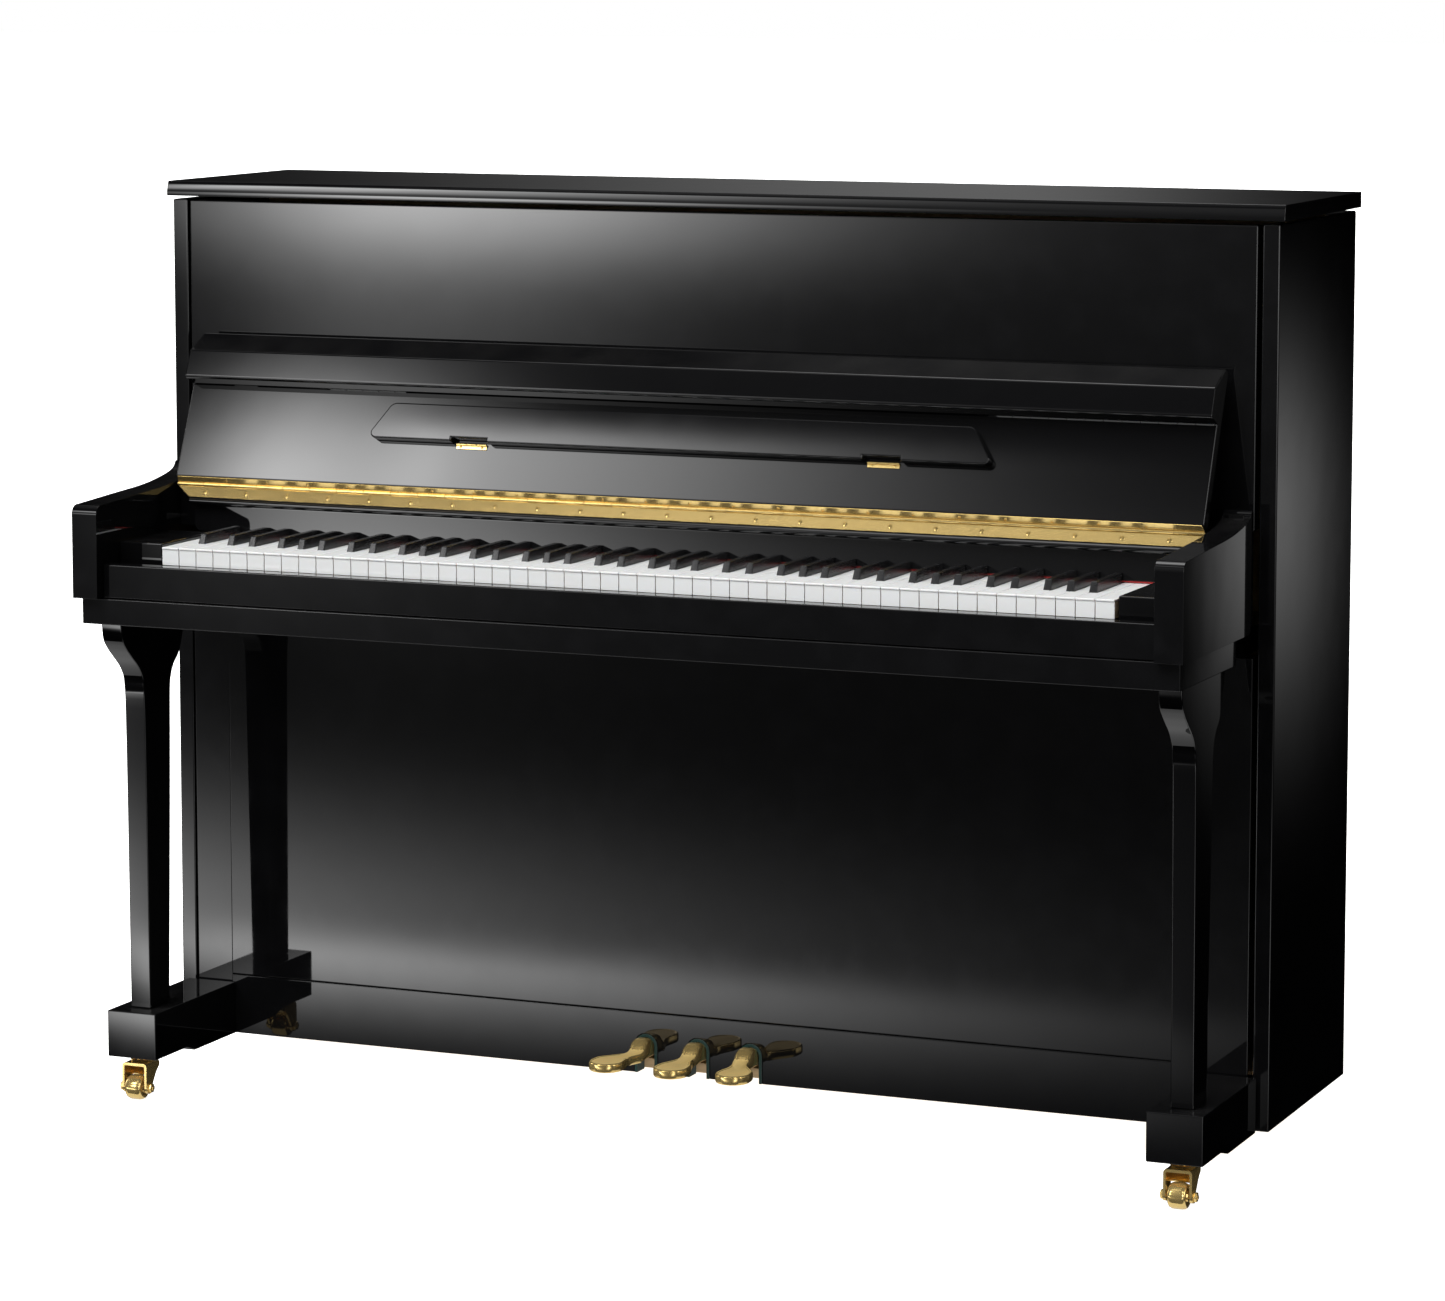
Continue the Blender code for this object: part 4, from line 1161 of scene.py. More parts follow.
def neck_ring(x, depth, half, low, high, power):
    """A rounded-rectangle ring across a pedal."""
    points = []
    for i in range(28):
        a = 2 * math.pi * (i + 0.5) / 28
        across = math.copysign(abs(math.cos(a)) ** (2 / power), math.cos(a))
        up = math.copysign(abs(math.sin(a)) ** (2 / power), math.sin(a))
        points.append(at(x + half * across, depth, (low + high) / 2 + (high - low) / 2 * up))
    return points


def make_pedal(name, x):
    """A pedal: a thin oval toe plate, a neck that narrows and rises, a hood at the rail and its lever."""
    half = arc((PEDAL_PLATE_DEPTH, 0), PEDAL_PLATE_HALF, 180, 90, 16)
    half += curve_through([
        (PEDAL_PLATE_DEPTH, PEDAL_PLATE_HALF), (0.168, 0.0198), (0.180, 0.0152), (0.192, 0.0112),
        (0.204, 0.0098),
    ])[1:]
    rings = []
    for inset, z in (
        (0.0030, 0.0685), (0.0012, 0.0690), (0.0002, 0.0704), (0.0, 0.0730), (0.0, 0.0780), (0.0006, 0.0793),
        (0.0018, 0.0800), (0.0030, 0.0798), (0.0036, 0.0794),
    ):
        scale = 1 - inset / PEDAL_PLATE_HALF
        points = [
            (PEDAL_PLATE_DEPTH + (depth - PEDAL_PLATE_DEPTH) * scale, across * scale)
            for depth, across in half
        ]
        points += [(depth, -across) for depth, across in points[::-1] if across > 1e-6]
        rings.append([at(x + toe_shift(name, depth) + across, depth, z) for depth, across in points])
    plate = loft(rings)
    for face in plate.faces:
        face.material_index = 1 if face.normal.z > 0.9 and face.calc_center_median().z > 0.0790 else 0
    stations = (
        (0.172, 0.0120, 0.0690, 0.0794, 2.4), (0.184, 0.0112, 0.0690, 0.0802, 2.6),
        (0.194, 0.0104, 0.0690, 0.0812, 3.0), (0.202, 0.0103, 0.0690, 0.0826, 3.4),
        (0.2075, 0.0104, 0.0690, 0.0850, 4.0), (0.2105, 0.0105, 0.0690, 0.0888, 4.4),
        (0.2135, 0.0105, 0.0690, 0.0918, 4.4), (0.2175, 0.0105, 0.0690, 0.0936, 4.2),
        (0.2225, 0.0105, 0.0690, 0.0944, 4.0), (0.2280, 0.0105, 0.0690, 0.0942, 4.0),
        (0.2330, 0.0105, 0.0690, 0.0930, 4.0), (0.2345, 0.0100, 0.0692, 0.0868, 4.6),
        (0.2500, 0.0100, 0.0694, 0.0862, 5.0), (0.3430, 0.0100, 0.0708, 0.0855, 5.0),
        (0.3450, 0.0092, 0.0716, 0.0847, 5.0),
    )
    neck = loft([neck_ring(x + toe_shift(name, station[0]), *station) for station in stations])
    paint_top(neck)
    pad = loft([pad_ring(x, out, shrink) for out, shrink in (
        (-0.0020, 0.0), (0.0004, 0.0), (0.0010, 0.0006), (0.0013, 0.0018), (0.0014, 0.0034),
    )])
    pin = turned([(-0.0195, 0.0022), (-0.0190, 0.0028), (0.0190, 0.0028), (0.0195, 0.0022)],
                 at(x, 0.330, 0.078), (1, 0, 0), 20)
    parts = [plate, neck, pad, pin]
    stand_in(f"{name}_pedal", "cast", joined(parts), ["brass", "satin_brass"], smooth=38)


def paint_top(neck):
    """Satin on the neck's upper face in front of the hood."""
    for face in neck.faces:
        middle = face.calc_center_median()
        in_front = middle.y - KEY_FRONT_Y < 0.2055
        face.material_index = 1 if face.normal.z > 0.6 and in_front else 0


def pad_ring(x, out, shrink):
    """A ring of the raised rectangular pad on the hood's front."""
    low, high, half, radius = 0.0775 + shrink, 0.0903 - shrink, 0.0076 - shrink, 0.0018
    points = []
    for cx, cz, start in (
        (half - radius, high - radius, 0), (-half + radius, high - radius, 90),
        (-half + radius, low + radius, 180), (half - radius, low + radius, 270),
    ):
        points += arc((x + cx, cz), radius, start, start + 90, 5)
    return [at(across, hood_depth(z) - out, z) for across, z in points]


def hood_depth(z):
    """How deep the hood's front lies at a height."""
    profile = ((0.0770, 0.2040), (0.0826, 0.2045), (0.0850, 0.2075), (0.0888, 0.2105), (0.0918, 0.2135))
    for (z0, d0), (z1, d1) in zip(profile, profile[1:]):
        if z <= z1:
            return d0 + (d1 - d0) * max(0.0, z - z0) / (z1 - z0)
    return profile[-1][1]


class PIANO_OT_pedals(bpy.types.Operator):
    """Three brass pedals and the board that carries them"""

    bl_idname = "piano.pedals"
    bl_label = "Pedals"

    def execute(self, context):
        for name, x in PEDALS.items():
            make_pedal(name, x)
        stand_in("bottom_board", "sanded", node_shape("bottom_board"), "beam_spruce", 0.0008)
        return {"FINISHED"}


CASTERS = {
    "front_left": (-0.682, 0.058), "front_right": (0.682, 0.058),
    "rear_left": (-0.640, 0.530), "rear_right": (0.640, 0.530),
}


AXLE_BEHIND = -0.014
AXLE_HEIGHT = 0.0155


def make_yoke(place, x, depth):
    """An inverted U of bent strap with a bearing disc above it and a rivet inside."""
    outer = [(0.0173, 0.0060), *arc((0.0128, 0.0425), 0.0045, 0, 90, 8)]
    inner = [(0.0143, 0.0060), *arc((0.0128, 0.0420), 0.0015, 0, 90, 6)]
    outer += [(-across, z) for across, z in outer[::-1]]
    inner += [(-across, z) for across, z in inner[::-1]]
    bent = prism([(x + across, z) for across, z in outer + inner[::-1]], depth - 0.023, depth + 0.014, "Y")
    cheek = [(depth - 0.0215, 0.0480), (depth - 0.0218, 0.0170)]
    cheek += arc((depth + AXLE_BEHIND, AXLE_HEIGHT), 0.0075, 170, 372, 18)
    cheek += curve_through([(depth - 0.0030, 0.0230), (depth + 0.0040, 0.0330), (depth + 0.0120, 0.0400)], 4)
    cheek += [(depth + 0.0120, 0.0480)]
    side = prism(cheek, x - 0.03, x + 0.03, "X")
    web = curve_through([(0.0118, 0.0440), (0.0085, 0.0425), (0.0010, 0.0345), (-0.0028, 0.0298)], 4)
    web += curve_through([(-0.0012, 0.0279), (0.0035, 0.0325), (0.0118, 0.0405)], 4)
    web = prism([(depth + back, z) for back, z in web], x - 0.0150, x + 0.0150, "X")
    yoke = combined(combined(bent, [side], "INTERSECT"), [web])
    parts = [eased(yoke, 0.0005, 2)]
    parts.append(turned(
        [(0.0, 0.0120), (0.0004, 0.0146), (0.0014, 0.0152), (0.0024, 0.0146), (0.0030, 0.0118),
         (0.0036, 0.0118), (0.0040, 0.0150), (0.0052, 0.0155), (0.0064, 0.0155), (0.0070, 0.0150),
         (0.0070, 0.0010)],
        at(x, depth, 0.0468), (0, 0, 1), 40,
    ))
    parts.append(painted(turned(
        [(0.0, 0.0048), (0.0010, 0.0048), (0.0022, 0.0040), (0.0028, 0.0022), (0.0030, 0.0004)],
        at(x, depth, 0.0437), (0, 0, -1), 24,
    ), 1))
    stand_in(f"{place}_caster_yoke", "bent", joined(parts), ["brass", "screw"])


def make_wheel(place, x, depth):
    """A barrel wheel with grooves beside its hub, on an axle with a washer and a hexagonal nut each side."""
    axle = at(x, depth + AXLE_BEHIND, AXLE_HEIGHT)
    half = [(0.0, 0.0155), (0.0050, 0.01545), (0.0080, 0.0149), (0.0100, 0.0138), (0.0110, 0.0122),
            (0.0110, 0.0106), (0.0102, 0.0100), (0.0102, 0.0066), (0.0118, 0.0060), (0.0122, 0.0030)]
    profile = [(-along, radius) for along, radius in half[:0:-1]] + half
    parts = [turned(profile, axle, (1, 0, 0), 48)]
    parts.append(turned([(-0.0232, 0.0018), (-0.0226, 0.0026), (0.0226, 0.0026), (0.0232, 0.0018)],
                        axle, (1, 0, 0), 20))
    for sign in (-1, 1):
        washer = [(0.0174, 0.0066), (0.0176, 0.0072), (0.0182, 0.0072), (0.0184, 0.0066)]
        parts.append(turned(washer, axle, (sign, 0, 0), 28))
        nut = turned([(0.0184, 0.0060), (0.0218, 0.0060)], axle, (sign, 0, 0), 6)
        parts.append(eased(nut, 0.0005, 2, 30))
    stand_in(f"{place}_caster_wheel", "turned", joined(parts), "brass", smooth=35)


class PIANO_OT_casters(bpy.types.Operator):
    """Four brass casters"""

    bl_idname = "piano.casters"
    bl_label = "Casters"

    def execute(self, context):
        for place, (x, depth) in CASTERS.items():
            make_yoke(place, x, depth)
            make_wheel(place, x, depth)
        return {"FINISHED"}


ACTION_SPAN = 1.208
HAMMER_TIP = (0.3868, 0.9155)
LAST_DAMPER_X = 0.356


def note_places():
    """The X of each hammer."""
    return [ACTION_SPAN * (i / (NOTES - 1) - 0.5) for i in range(NOTES)]


def make_rack():
    """Four cast brackets that carry the main rail, the rest rail and the regulating rail."""
    across = (-0.6300, 0.6300)
    parts = [
        eased(block(across, depths, heights), round_over)
        for depths, heights, round_over in (
            ((0.3080, 0.3300), (0.7750, 0.8050), 0.0015), ((0.3250, 0.3370), (0.8700, 0.9000), 0.0012),
            ((0.2950, 0.3060), (0.8150, 0.8300), 0.0010),
        )
    ]
    parts.append(painted(block(across, (0.3370, 0.3392), (0.8740, 0.8960)), 2))
    for x in (-0.625, -0.210, 0.205, 0.625):
        side = curve_through([
            (0.300, 0.7200), (0.338, 0.7200), (0.338, 0.7650), (0.3395, 0.8400), (0.3405, 0.9120),
            (0.3220, 0.9120), (0.3060, 0.8600), (0.2945, 0.8300), (0.2945, 0.8150), (0.3000, 0.7800),
        ], 3)
        parts.append(painted(eased(prism(side, x - 0.004, x + 0.004, "X"), 0.0008), 1))
    for x in note_places():
        parts.append(painted(turned(
            [(0, 0.0022), (0.003, 0.0022), (0.0035, 0.0010), (0.010, 0.0010)], at(x, 0.3005, 0.8145),
            (0, 0, -1), 8,
        ), 1))
    stand_in("action_rack", "built_up", joined(parts), ["maple", "steel", "red_felt"])


def make_hammers():
    """88 hammers: butt, shank, wooden moulding and its wrap of felt. They grow towards the bass."""
    parts = []
    for i, x in enumerate(note_places()):
        size = 1.10 - 0.30 * i / (NOTES - 1)
        butt = [(0.343, 0.790), (0.357, 0.790), (0.360, 0.806), (0.357, 0.816), (0.350, 0.815)]
        butt.append((0.342, 0.805))
        parts.append(painted(prism(butt, x - 0.0045, x + 0.0045, "X"), 1))
        parts.append(painted(rod(at(x, 0.354, 0.812), at(x, 0.3605, 0.9050), 0.0027, 10), 1))
        mould = [(0.3490, 0.9120), (0.3490, 0.9190), (0.3740, 0.9175), (0.3740, 0.9140)]
        parts.append(painted(prism(mould, x - 0.0042, x + 0.0042, "X"), 1))
        felt = [(0.3560, 0.9060), (0.3680, 0.9060)]
        felt += curve_through([(0.3680, 0.9060), (0.3810, 0.9085), HAMMER_TIP], 4)[1:]
        felt += curve_through([HAMMER_TIP, (0.3810, 0.9228), (0.3680, 0.9255)], 4)[1:]
        felt += [(0.3560, 0.9255), (0.3600, 0.9190), (0.3600, 0.9125)]
        grown = [(0.3860 + (depth - 0.3860) * size, 0.9157 + (z - 0.9157) * size) for depth, z in felt]
        parts.append(eased(prism(grown, x - 0.0046, x + 0.0046, "X"), 0.0004, 1, 60))
    parts.append(painted(block((-0.612, 0.612), (0.342, 0.3445), (0.7905, 0.7960)), 1))
    piece(
        "hammers_felted", joined(parts), ["wool", "upright_maple"], BODY_OF["hammer_set"],
        ["hammer_set"],
    )


def make_dampers():
    """Dampers for all but the highest notes: wire, block and wedge of felt."""
    parts = []
    for x in note_places():
        if x > LAST_DAMPER_X:
            break
        lever = [(0.387, 0.790), (0.395, 0.790), (0.396, 0.812), (0.388, 0.812)]
        parts.append(painted(prism(lever, x - 0.004, x + 0.004, "X"), 1))
        parts.append(painted(rod(at(x, 0.392, 0.810), at(x, 0.399, 0.872), 0.0010, 6), 2))
        parts.append(painted(block((x - 0.004, x + 0.004), (0.396, 0.407), (0.862, 0.886)), 1))
        parts.append(prism([(0.407, 0.8600), (0.4225, 0.8625), (0.4225, 0.8860), (0.407, 0.8885)],
                           x - 0.0042, x + 0.0042, "X"))
    parts.append(painted(block((-0.612, 0.360), (0.3865, 0.3885), (0.7900, 0.7960)), 1))
    piece(
        "dampers_felted", joined(parts), ["wool", "upright_maple", "steel"], BODY_OF["damper_set"],
        ["damper_set"],
    )


def make_muffler():
    """The practice felt, hung from a thin wooden rail."""
    parts = [block((-0.6000, 0.6000), (0.4085, 0.4105), (0.9600, 0.9770))]
    parts.append(painted(eased(block((-0.6000, 0.6000), (0.4060, 0.4130), (0.9750, 0.9850)), 0.0008), 1))
    stand_in("muffler_rail", "felted", joined(parts), ["wool", "maple"])


class PIANO_OT_action(bpy.types.Operator):
    """Action brackets and rails, hammers, dampers and practice felt"""

    bl_idname = "piano.action"
    bl_label = "Action"

    def execute(self, context):
        make_rack()
        make_hammers()
        make_dampers()
        make_muffler()
        return {"FINISHED"}


POST_XS = (-0.6765, -0.340, 0.0, 0.340, 0.6765)
BEAM_SPAN = (-0.7065, 0.7065)
PLATE_FRONT = 0.4470
BASS_NOTES = 28
POST_HALF = 0.030
FRAME_FRONT = 0.490
FRAME_BACK = 0.566


def make_frame():
    """Five posts between the pin block and the bottom beam, glued up, with bolts at their ends."""
    beams = [
        eased(block(BEAM_SPAN, (0.4600, 0.5100), (1.0000, 1.1165)), 0.0012),
        eased(block(BEAM_SPAN, (0.5102, FRAME_BACK), (1.0000, 1.1165)), 0.0012),
        eased(block(BEAM_SPAN, (FRAME_FRONT, FRAME_BACK), (0.0545, 0.1600)), 0.0012),
    ]
    posts = []
    for x in POST_XS:
        post = block((x - POST_HALF, x + POST_HALF), (FRAME_FRONT, FRAME_BACK), (0.1602, 0.9998))
        posts.append(painted(eased(post, 0.0020), 1))
    bolts = []
    for x in POST_XS:
        for z in (0.085, 0.130, 1.030, 1.085):
            profile = [(-0.002, 0.0125), (0.0006, 0.0125), (0.0012, 0.0115), (0.0012, 0.0074)]
            profile += [(0.0040, 0.0070), (0.0054, 0.0055), (0.0060, 0.0010)]
            near = max(-0.668, min(0.668, x))
            shifted = at(near, FRAME_BACK - 0.0055, z)
            bolts.append(painted(turned(profile, shifted, (0, 1, 0), 20), 2))
            beams.append(painted(turned([(-0.001, 0.0170), (0.0002, 0.0170), (0.0002, 0.0140)],
                                        at(near, FRAME_BACK, z), (0, 1, 0), 24), 3))
    finish_names = ["beam_spruce", "spruce", "steel", "maple"]
    stand_in("back_frame", "built_up", joined(beams + posts + bolts), finish_names)


def make_soundboard():
    """The soundboard, with slanting ribs glued to its back between the posts."""
    parts = [block((-0.7000, 0.7000), (0.4780, 0.4880), (0.0620, 0.9950))]
    slope = 0.62
    for rib in range(-6, 12):
        base = 0.16 + rib * 0.118
        for left, right in zip(POST_XS, POST_XS[1:]):
            x0, x1 = left + POST_HALF + 0.001, right - POST_HALF - 0.001
            z0, z1 = base + slope * (x0 + 0.7), base + slope * (x1 + 0.7)
            if min(z0, z1) < 0.162 or max(z0, z1) > 0.985:
                continue
            half = 0.0125
            rings = []
            for x, z, back in ((x0, z0, 0.502), (x0 + 0.03, z0 + slope * 0.03, 0.506),
                               (x1 - 0.03, z1 - slope * 0.03, 0.506), (x1, z1, 0.502)):
                rings.append([at(x, 0.4878, z - half), at(x, back, z - half + 0.002),
                              at(x, back, z + half - 0.002), at(x, 0.4878, z + half)])
            parts.append(painted(eased(loft(rings), 0.0012, 1), 1))
    treble = curve_through([(0.56, 0.80), (0.35, 0.60), (0.05, 0.42), (-0.30, 0.34), (-0.52, 0.30)], 6)
    bass = curve_through([(-0.12, 0.22), (-0.32, 0.235), (-0.52, 0.27)], 6)
    for line in (treble, bass):
        rings = []
        for x, z in line:
            rings.append([at(x, 0.4782, z - 0.012), at(x, 0.4600, z - 0.008), at(x, 0.4600, z + 0.008),
                          at(x, 0.4782, z + 0.012)])
        parts.append(painted(loft(rings), 2))
    stand_in("soundboard", "ribbed", joined(parts), ["soundboard", "beam_spruce", "maple"])


def make_plate():
    """The iron plate: a cast rim and web with openings, and raised bars between the string sections."""
    plate = block((-0.6900, 0.6900), (PLATE_FRONT, 0.4570), (0.0900, 1.1000))
    openings = []
    for x0, x1, z0, z1 in (
        (-0.640, -0.420, 0.330, 0.960), (-0.380, -0.150, 0.330, 0.960), (-0.110, 0.230, 0.430, 0.960),
        (0.270, 0.500, 0.620, 0.960),
    ):
        outline = []
        for cx, cz, start in ((x1, z1, 0), (x0, z1, 90), (x0, z0, 180), (x1, z0, 270)):
            inner_x = cx - math.copysign(0.03, cx - (x0 + x1) / 2)
            inner_z = cz - math.copysign(0.03, cz - (z0 + z1) / 2)
            outline += arc((inner_x, inner_z), 0.03, start, start + 90, 6)
        openings.append(prism(outline, 0.44, 0.46, "Y"))
    for x in (-0.560, -0.300, 0.0, 0.300, 0.560):
        openings.append(turned([(-0.02, 0.022), (0.02, 0.022)], at(x, 0.452, 0.185), (0, 1, 0), 24))
    plate = eased(combined(plate, openings, "DIFFERENCE"), 0.0016)
    parts = [plate]
    for x in (-0.400, -0.130, 0.250, 0.520):
        parts.append(eased(block((x - 0.011, x + 0.011), (0.4300, 0.4472), (0.1200, 1.0100)), 0.0040, 3))
    parts.append(eased(block((-0.6700, 0.6700), (0.4320, 0.4472), (0.9900, 1.0120)), 0.0040, 3))
    for x in range(-6, 7):
        for z in (0.110, 1.090):
            head = turned([(0, 0.0085), (0.0010, 0.0085), (0.0030, 0.0060), (0.0036, 0.0010)],
                          at(x * 0.108, PLATE_FRONT, z), (0, -1, 0), 16)
            parts.append(painted(head, 1))
    stand_in("iron_plate", "cast", joined(parts), ["plate", "steel"])


def make_strings(sizes):
    """Wound bass strings that cross over plain treble strings, with their coils and tuning pins."""
    parts = []
    chance = random.Random(7)
    for i in range(NOTES):
        share = i / (NOTES - 1)
        wires = 1 if i < 10 else 2 if i < BASS_NOTES else 3
        bass = i < BASS_NOTES
        for wire in range(wires):
            top_x = -0.610 + 1.215 * share + (wire - (wires - 1) / 2) * 0.0044
            pin_z = 1.032 + 0.0195 * wire + 0.006 * (i % 2)
            low_x = top_x + 0.10 if bass else top_x - 0.06 * (1 - share)
            low_z = 0.165 if bass else 0.175 + 0.58 * max(0.0, share - 0.3) ** 1.1
            depth = 0.4250 if bass else 0.4285
            radius = sizes.wound_radius * (1.0 - i / 60) if bass else sizes.wire_radius
            top, low = at(top_x, depth, pin_z), at(low_x, depth, low_z)
            run = low - top
            parts.append(rod(top, low, sizes.wire_radius, 6))
            if bass:
                wound = [(0.09, radius * 0.6), (0.094, radius), (run.length - 0.04, radius),
                         (run.length - 0.036, radius * 0.6)]
                parts.append(painted(turned(wound, top, run, 8), 1))
            spin = Matrix.Rotation(math.radians(chance.uniform(0, 90)), 4, "Y")
            middle = at(top_x, 0.4380, pin_z)
            pin = turned([(0, 0.0034), (0.0300, 0.0034), (0.0312, 0.0028)], middle, (0, -1, 0), 8)
            parts.append(moved(pin, Matrix.Translation(middle) @ spin @ Matrix.Translation(-middle)))
            parts.append(turned([(0, 0.0034), (0, 0.0044), (0.0034, 0.0044), (0.0034, 0.0034)],
                                at(top_x, 0.4300, pin_z), (0, -1, 0), 10))
    stand_in("strings", "and_pins", joined(parts), ["wire", "copper"])


class PIANO_OT_strung_back(bpy.types.Operator):
    """Back frame, soundboard, iron plate, strings and tuning pins"""

    bl_idname = "piano.strung_back"
    bl_label = "Strung back"

    def execute(self, context):
        make_frame()
        make_soundboard()
        make_plate()
        make_strings(context.scene.piano_sizes)
        return {"FINISHED"}


# ---------------------------------------------------------------------------------------------
# Stage

FLOOR_REACH = 60.0
FLOOR_GLOW = 0.88
SUN_SPREAD = math.radians(50)
SUN_TURN = (math.radians(36), 0, math.radians(-28))
CAMERA_PLACE = (2.3300, -5.4387, 1.4446)
CAMERA_TURN = (math.radians(90 - 6.469), 0, math.radians(22.984))
CAMERA_SHIFT = -0.11

# Soft patches of light on each card, as (x, y, left, right, down, up, strength). x and y are measured on
# the card from its middle, and the four reaches from the patch's own middle, all in metres.
FRONT_SPOTS = [
    (-1.96, -0.05, 0.44, 0.67, 0.12, 0.20, 8.2), (-2.06, 0.28, 0.28, 0.51, 0.62, 0.30, 3.6),
    (-2.12, 2.11, 0.83, 2.89, 2.27, 0.21, 0.39), (-2.29, 2.42, 0.15, 0.76, 1.02, 0.05, 6.4),
    (-2.65, 2.28, 0.22, 0.33, 0.71, 0.26, 11.3), (-2.08, 4.46, 0.40, 1.93, 1.05, 0.80, 1.6),
    (-2.28, -1.60, 0.25, 1.19, 0.11, 0.05, 3.6), (-4.15, -1.59, 0.88, 1.81, 0.06, 0.25, 7.9),
    (2.50, -0.10, 0.55, 1.10, 0.50, 0.60, 6.5), (2.60, 2.40, 0.60, 1.10, 0.80, 0.50, 6.5),
    (2.50, -1.60, 0.70, 1.20, 0.25, 0.30, 3.5),
]
BACK_SPOTS = [(1.63, -0.57, 0.095, 0.075, 0.30, 0.24, 0.46), (-0.70, 0.30, 1.0, 0.40, 0.35, 0.50, 0.15)]
RIGHT_SPOTS = [(-1.2, 0.6, 0.8, 0.9, 1.2, 1.3, 5.0)]
LEFT_SPOTS = [(0.9, 0.6, 1.0, 0.8, 1.2, 1.3, 5.0)]
TOP_SPOTS = [(-1.0, 0.5, 1.6, 1.8, 1.4, 1.8, 4.5), (-1.6, 5.0, 2.2, 1.6, 1.6, 2.5, 2.2)]


def soft_spot_group():
    """The light of one soft patch on a card: a smooth bell round a centre, wider on one side if needed."""
    tree, given, result = shader_group(
        "Soft spot",
        {"Place": (0.0, 0.0, 0.0), "Centre": (0.0, 0.0, 0.0), "Low size": (1.0, 1.0, 1.0),
         "High size": (1.0, 1.0, 1.0), "Strength": 1.0},
        {"Light": 1},
    )
    offset = vector_maths(tree, "SUBTRACT", given["Place"], given["Centre"])[0]
    low = vector_maths(tree, "DIVIDE", offset, given["Low size"])[0]
    high = vector_maths(tree, "DIVIDE", offset, given["High size"])[0]
    down = vector_maths(tree, "MINIMUM", low, (0.0, 0.0, 0.0))[0]
    up = vector_maths(tree, "MAXIMUM", high, (0.0, 0.0, 0.0))[0]
    both = vector_maths(tree, "ADD", down, up)[0]
    square = vector_maths(tree, "DOT_PRODUCT", both, both)["Value"]
    bell = maths(tree, "EXPONENT", maths(tree, "MULTIPLY", square, -1.0))
    tree.links.new(maths(tree, "MULTIPLY", bell, given["Strength"]), result["Light"])
    return tree


def flat_sheet(name, half_x, half_y):
    """The mesh of a flat rectangle round its own middle."""
    mesh = bpy.data.meshes.new(name)
    corners = [(-half_x, -half_y, 0), (half_x, -half_y, 0), (half_x, half_y, 0), (-half_x, half_y, 0)]
    mesh.from_pydata(corners, [], [(0, 1, 2, 3)])
    return mesh


def light_card(name, matrix, width, height, spots, strength):
    """A glowing card that only reflections see. Spots are (x, y, left, right, down, up, strength) on it."""
    mesh = flat_sheet(name, width / 2, height / 2)
    glow = bpy.data.materials.new(name)
    glow.use_nodes = True
    tree = glow.node_tree
    tree.nodes.remove(tree.nodes["Principled BSDF"])
    group = bpy.data.node_groups.get("Soft spot") or soft_spot_group()
    place = node(tree, "ShaderNodeTexCoord").outputs["Object"]
    total = None
    for x, y, left, right, down, up, light in spots:
        inputs = {
            "Place": place, "Centre": (x, y, 0), "Low size": (left, down, 1), "High size": (right, up, 1),
            "Strength": light * strength,
        }
        spot = node(tree, "ShaderNodeGroup", inputs, node_tree=group).outputs["Light"]
        total = spot if total is None else maths(tree, "ADD", total, spot)
    emission = node(tree, "ShaderNodeEmission", {"Color": (1, 1, 1, 1), "Strength": total})
    tree.links.new(emission.outputs[0], tree.nodes["Material Output"].inputs["Surface"])
    mesh.materials.append(glow)
    card = placed(name, mesh)
    card.matrix_world = matrix
    card.visible_camera = False
    card.visible_diffuse = False
    card.visible_shadow = False


def make_floor(settings):
    """A large pale floor that brightens itself, so that it meets the white background."""
    mesh = flat_sheet("floor", FLOOR_REACH, FLOOR_REACH)
    paint, _ = new_finish(
        "Pale floor", Base_Color=(*settings.floor, 1.0), Roughness=0.9, Specular_IOR_Level=0.0,
        Emission_Color=(1, 1, 1, 1), Emission_Strength=FLOOR_GLOW,
    )
    mesh.materials.append(paint)
    floor = placed("floor", mesh)
    floor.visible_glossy = False
    floor.visible_diffuse = False


def make_world():
    """White behind the piano; in reflections, dark near the horizon, pale below and softly lit above."""
    world = bpy.data.worlds.new("Studio")
    bpy.context.scene.world = world
    world.use_nodes = True
    tree = world.node_tree
    tree.nodes.clear()
    direction = node(tree, "ShaderNodeTexCoord").outputs["Generated"]
    height = node(tree, "ShaderNodeSeparateXYZ", {0: direction}).outputs["Z"]
    above = remapped(tree, height, 0.55, 1.0, 0.0, 0.9)
    below = remapped(tree, height, -0.26, -0.60, 0.0, 0.85)
    glow = maths(tree, "ADD", maths(tree, "ADD", above, below), 0.05)
    seen = node(tree, "ShaderNodeLightPath").outputs["Is Camera Ray"]
    fill = node(tree, "ShaderNodeLightPath").outputs["Is Diffuse Ray"]
    glow = maths(tree, "ADD", glow, maths(tree, "MULTIPLY", fill, 0.30))
    shown = node(tree, "ShaderNodeMix", {0: seen, 2: glow, 3: 1.0})
    background = node(tree, "ShaderNodeBackground", {"Color": (1, 1, 1, 1), "Strength": shown.outputs[0]})
    output = node(tree, "ShaderNodeOutputWorld")
    tree.links.new(background.outputs[0], output.inputs["Surface"])


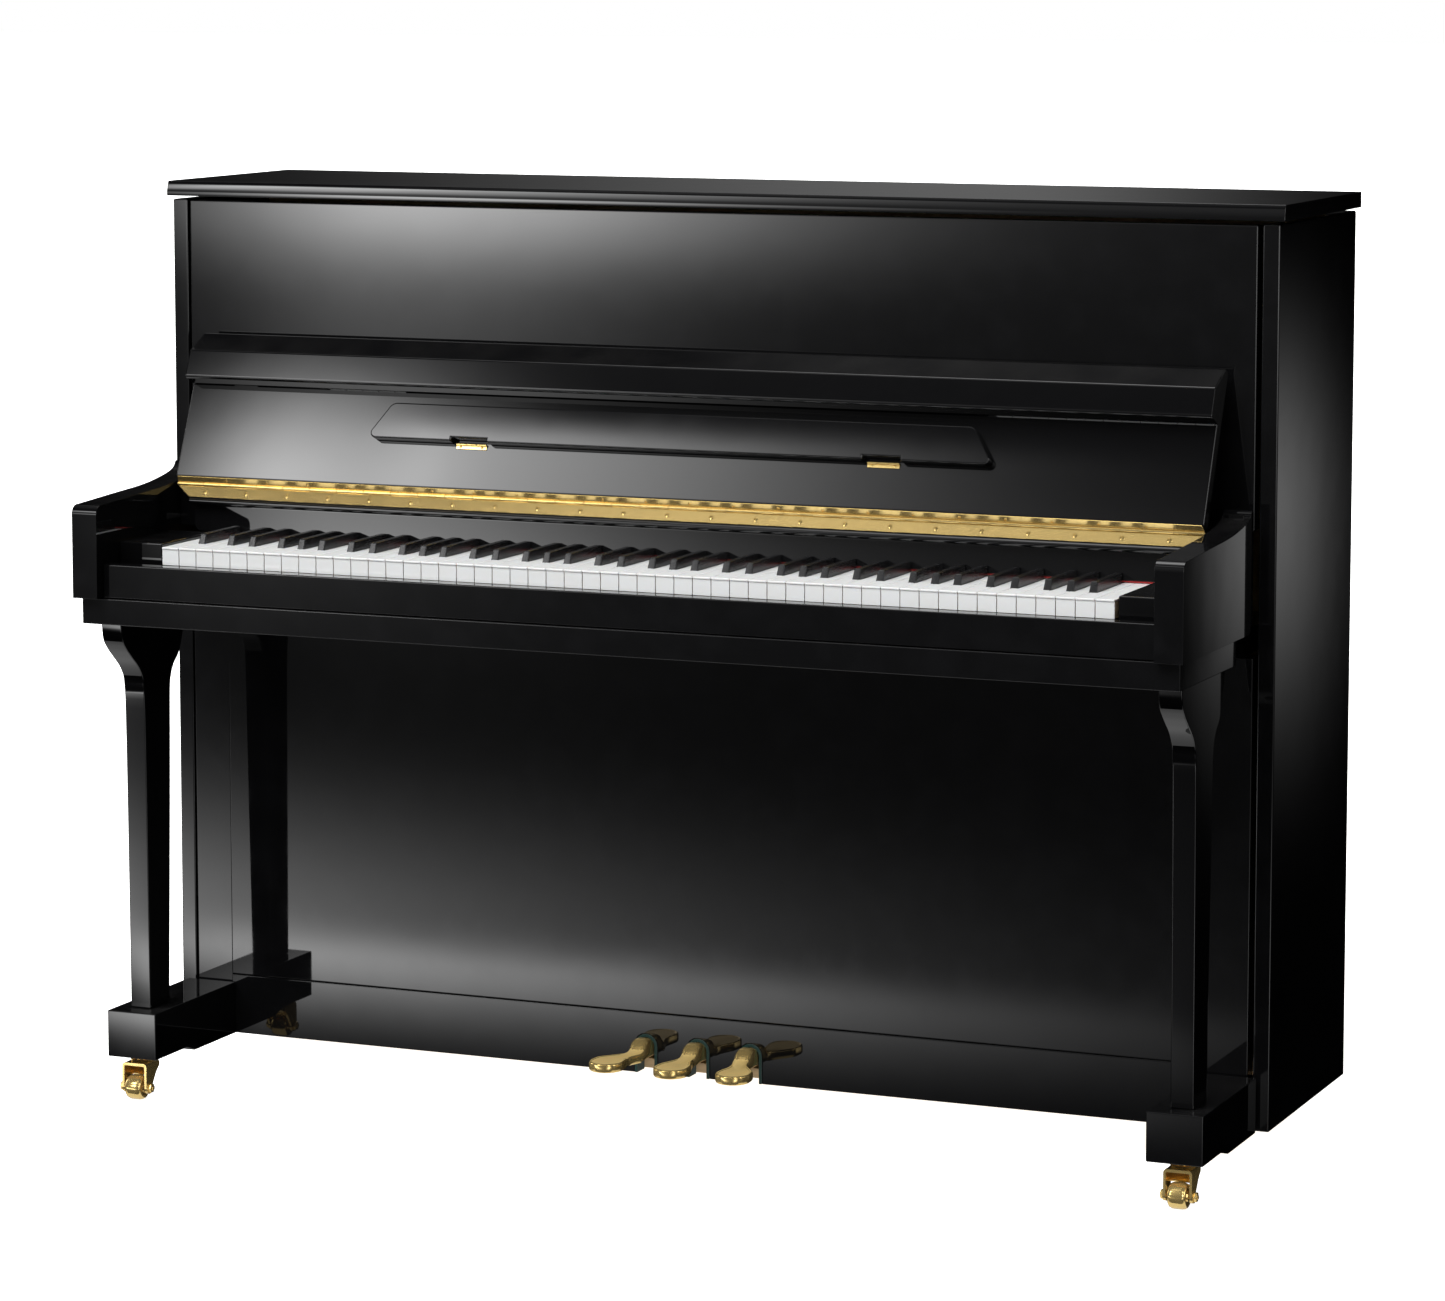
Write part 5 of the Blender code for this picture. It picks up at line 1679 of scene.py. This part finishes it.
def make_lights(settings):
    """A broad light for the keys and the floor, and glowing cards for what the lacquer mirrors."""
    sun = bpy.data.lights.new("broad_light", "SUN")
    sun.energy = settings.key_light
    sun.angle = SUN_SPREAD
    lamp = placed("broad_light", sun)
    lamp.rotation_euler = SUN_TURN
    lamp.visible_glossy = False
    upright = Matrix.Rotation(math.radians(90), 4, "X")
    sideways = Matrix.Rotation(math.radians(90), 4, "Z") @ upright
    cards = {
        "front_card": (Matrix.Translation((0, -3.2, 1)) @ upright, 12, 12, FRONT_SPOTS),
        "back_card": (Matrix.Translation((0, 3.0, 1)) @ upright, 9, 6, BACK_SPOTS),
        "right_card": (Matrix.Translation((5.0, 0, 1)) @ sideways, 8, 6, RIGHT_SPOTS),
        "left_card": (Matrix.Translation((-5.0, 0, 1)) @ sideways, 8, 6, LEFT_SPOTS),
        "top_card": (Matrix.Translation((0, 0, 6.5)), 12, 18, TOP_SPOTS),
    }
    for name, (matrix, width, height, spots) in cards.items():
        light_card(name, matrix, width, height, spots, settings.soft_boxes)


def make_camera(scene, settings):
    """The camera, turned towards the treble end's front corner."""
    data = bpy.data.cameras.new("camera")
    data.lens = settings.lens
    data.shift_y = CAMERA_SHIFT
    camera = placed("camera", data)
    camera.location = CAMERA_PLACE
    camera.rotation_euler = CAMERA_TURN
    scene.camera = camera


class PIANO_OT_stage(bpy.types.Operator):
    """Plain pale floor, soft studio light and the camera"""

    bl_idname = "piano.stage"
    bl_label = "Floor, lights and camera"

    def execute(self, context):
        settings = context.scene.piano_studio
        make_floor(settings)
        make_world()
        make_lights(settings)
        make_camera(context.scene, settings)
        context.scene.view_settings.view_transform = "Standard"
        return {"FINISHED"}


class PIANO_PT_panel(bpy.types.Panel):
    """Lists the piano's groups of pieces and their settings"""

    bl_label = "Upright piano"
    bl_idname = "PIANO_PT_panel"
    bl_space_type = "VIEW_3D"
    bl_region_type = "UI"
    bl_category = "Piano"

    def draw(self, context):
        for operator in OPERATORS:
            self.layout.operator(operator.bl_idname)
        for group in (context.scene.piano_sizes, context.scene.piano_finishes, context.scene.piano_studio):
            box = self.layout.box()
            for name in group.__annotations__:
                box.prop(group, name)


OPERATORS = (
    PIANO_OT_case, PIANO_OT_fallboard, PIANO_OT_hinge, PIANO_OT_keyboard, PIANO_OT_pedals, PIANO_OT_casters,
    PIANO_OT_action, PIANO_OT_strung_back, PIANO_OT_stage,
)
SETTINGS = {"piano_sizes": PianoSizes, "piano_finishes": PianoFinishes, "piano_studio": StudioSettings}


def register():
    for settings in SETTINGS.values():
        bpy.utils.register_class(settings)
    for operator in OPERATORS:
        bpy.utils.register_class(operator)
    bpy.utils.register_class(PIANO_PT_panel)
    for name, settings in SETTINGS.items():
        setattr(bpy.types.Scene, name, bpy.props.PointerProperty(type=settings))


def unregister():
    for name in SETTINGS:
        delattr(bpy.types.Scene, name)
    bpy.utils.unregister_class(PIANO_PT_panel)
    for made in (*OPERATORS, *SETTINGS.values()):
        bpy.utils.unregister_class(made)


def main():
    register()
    for operator in OPERATORS:
        group, name = operator.bl_idname.split(".")
        getattr(getattr(bpy.ops, group), name)()


if __name__ == "__main__":
    main()
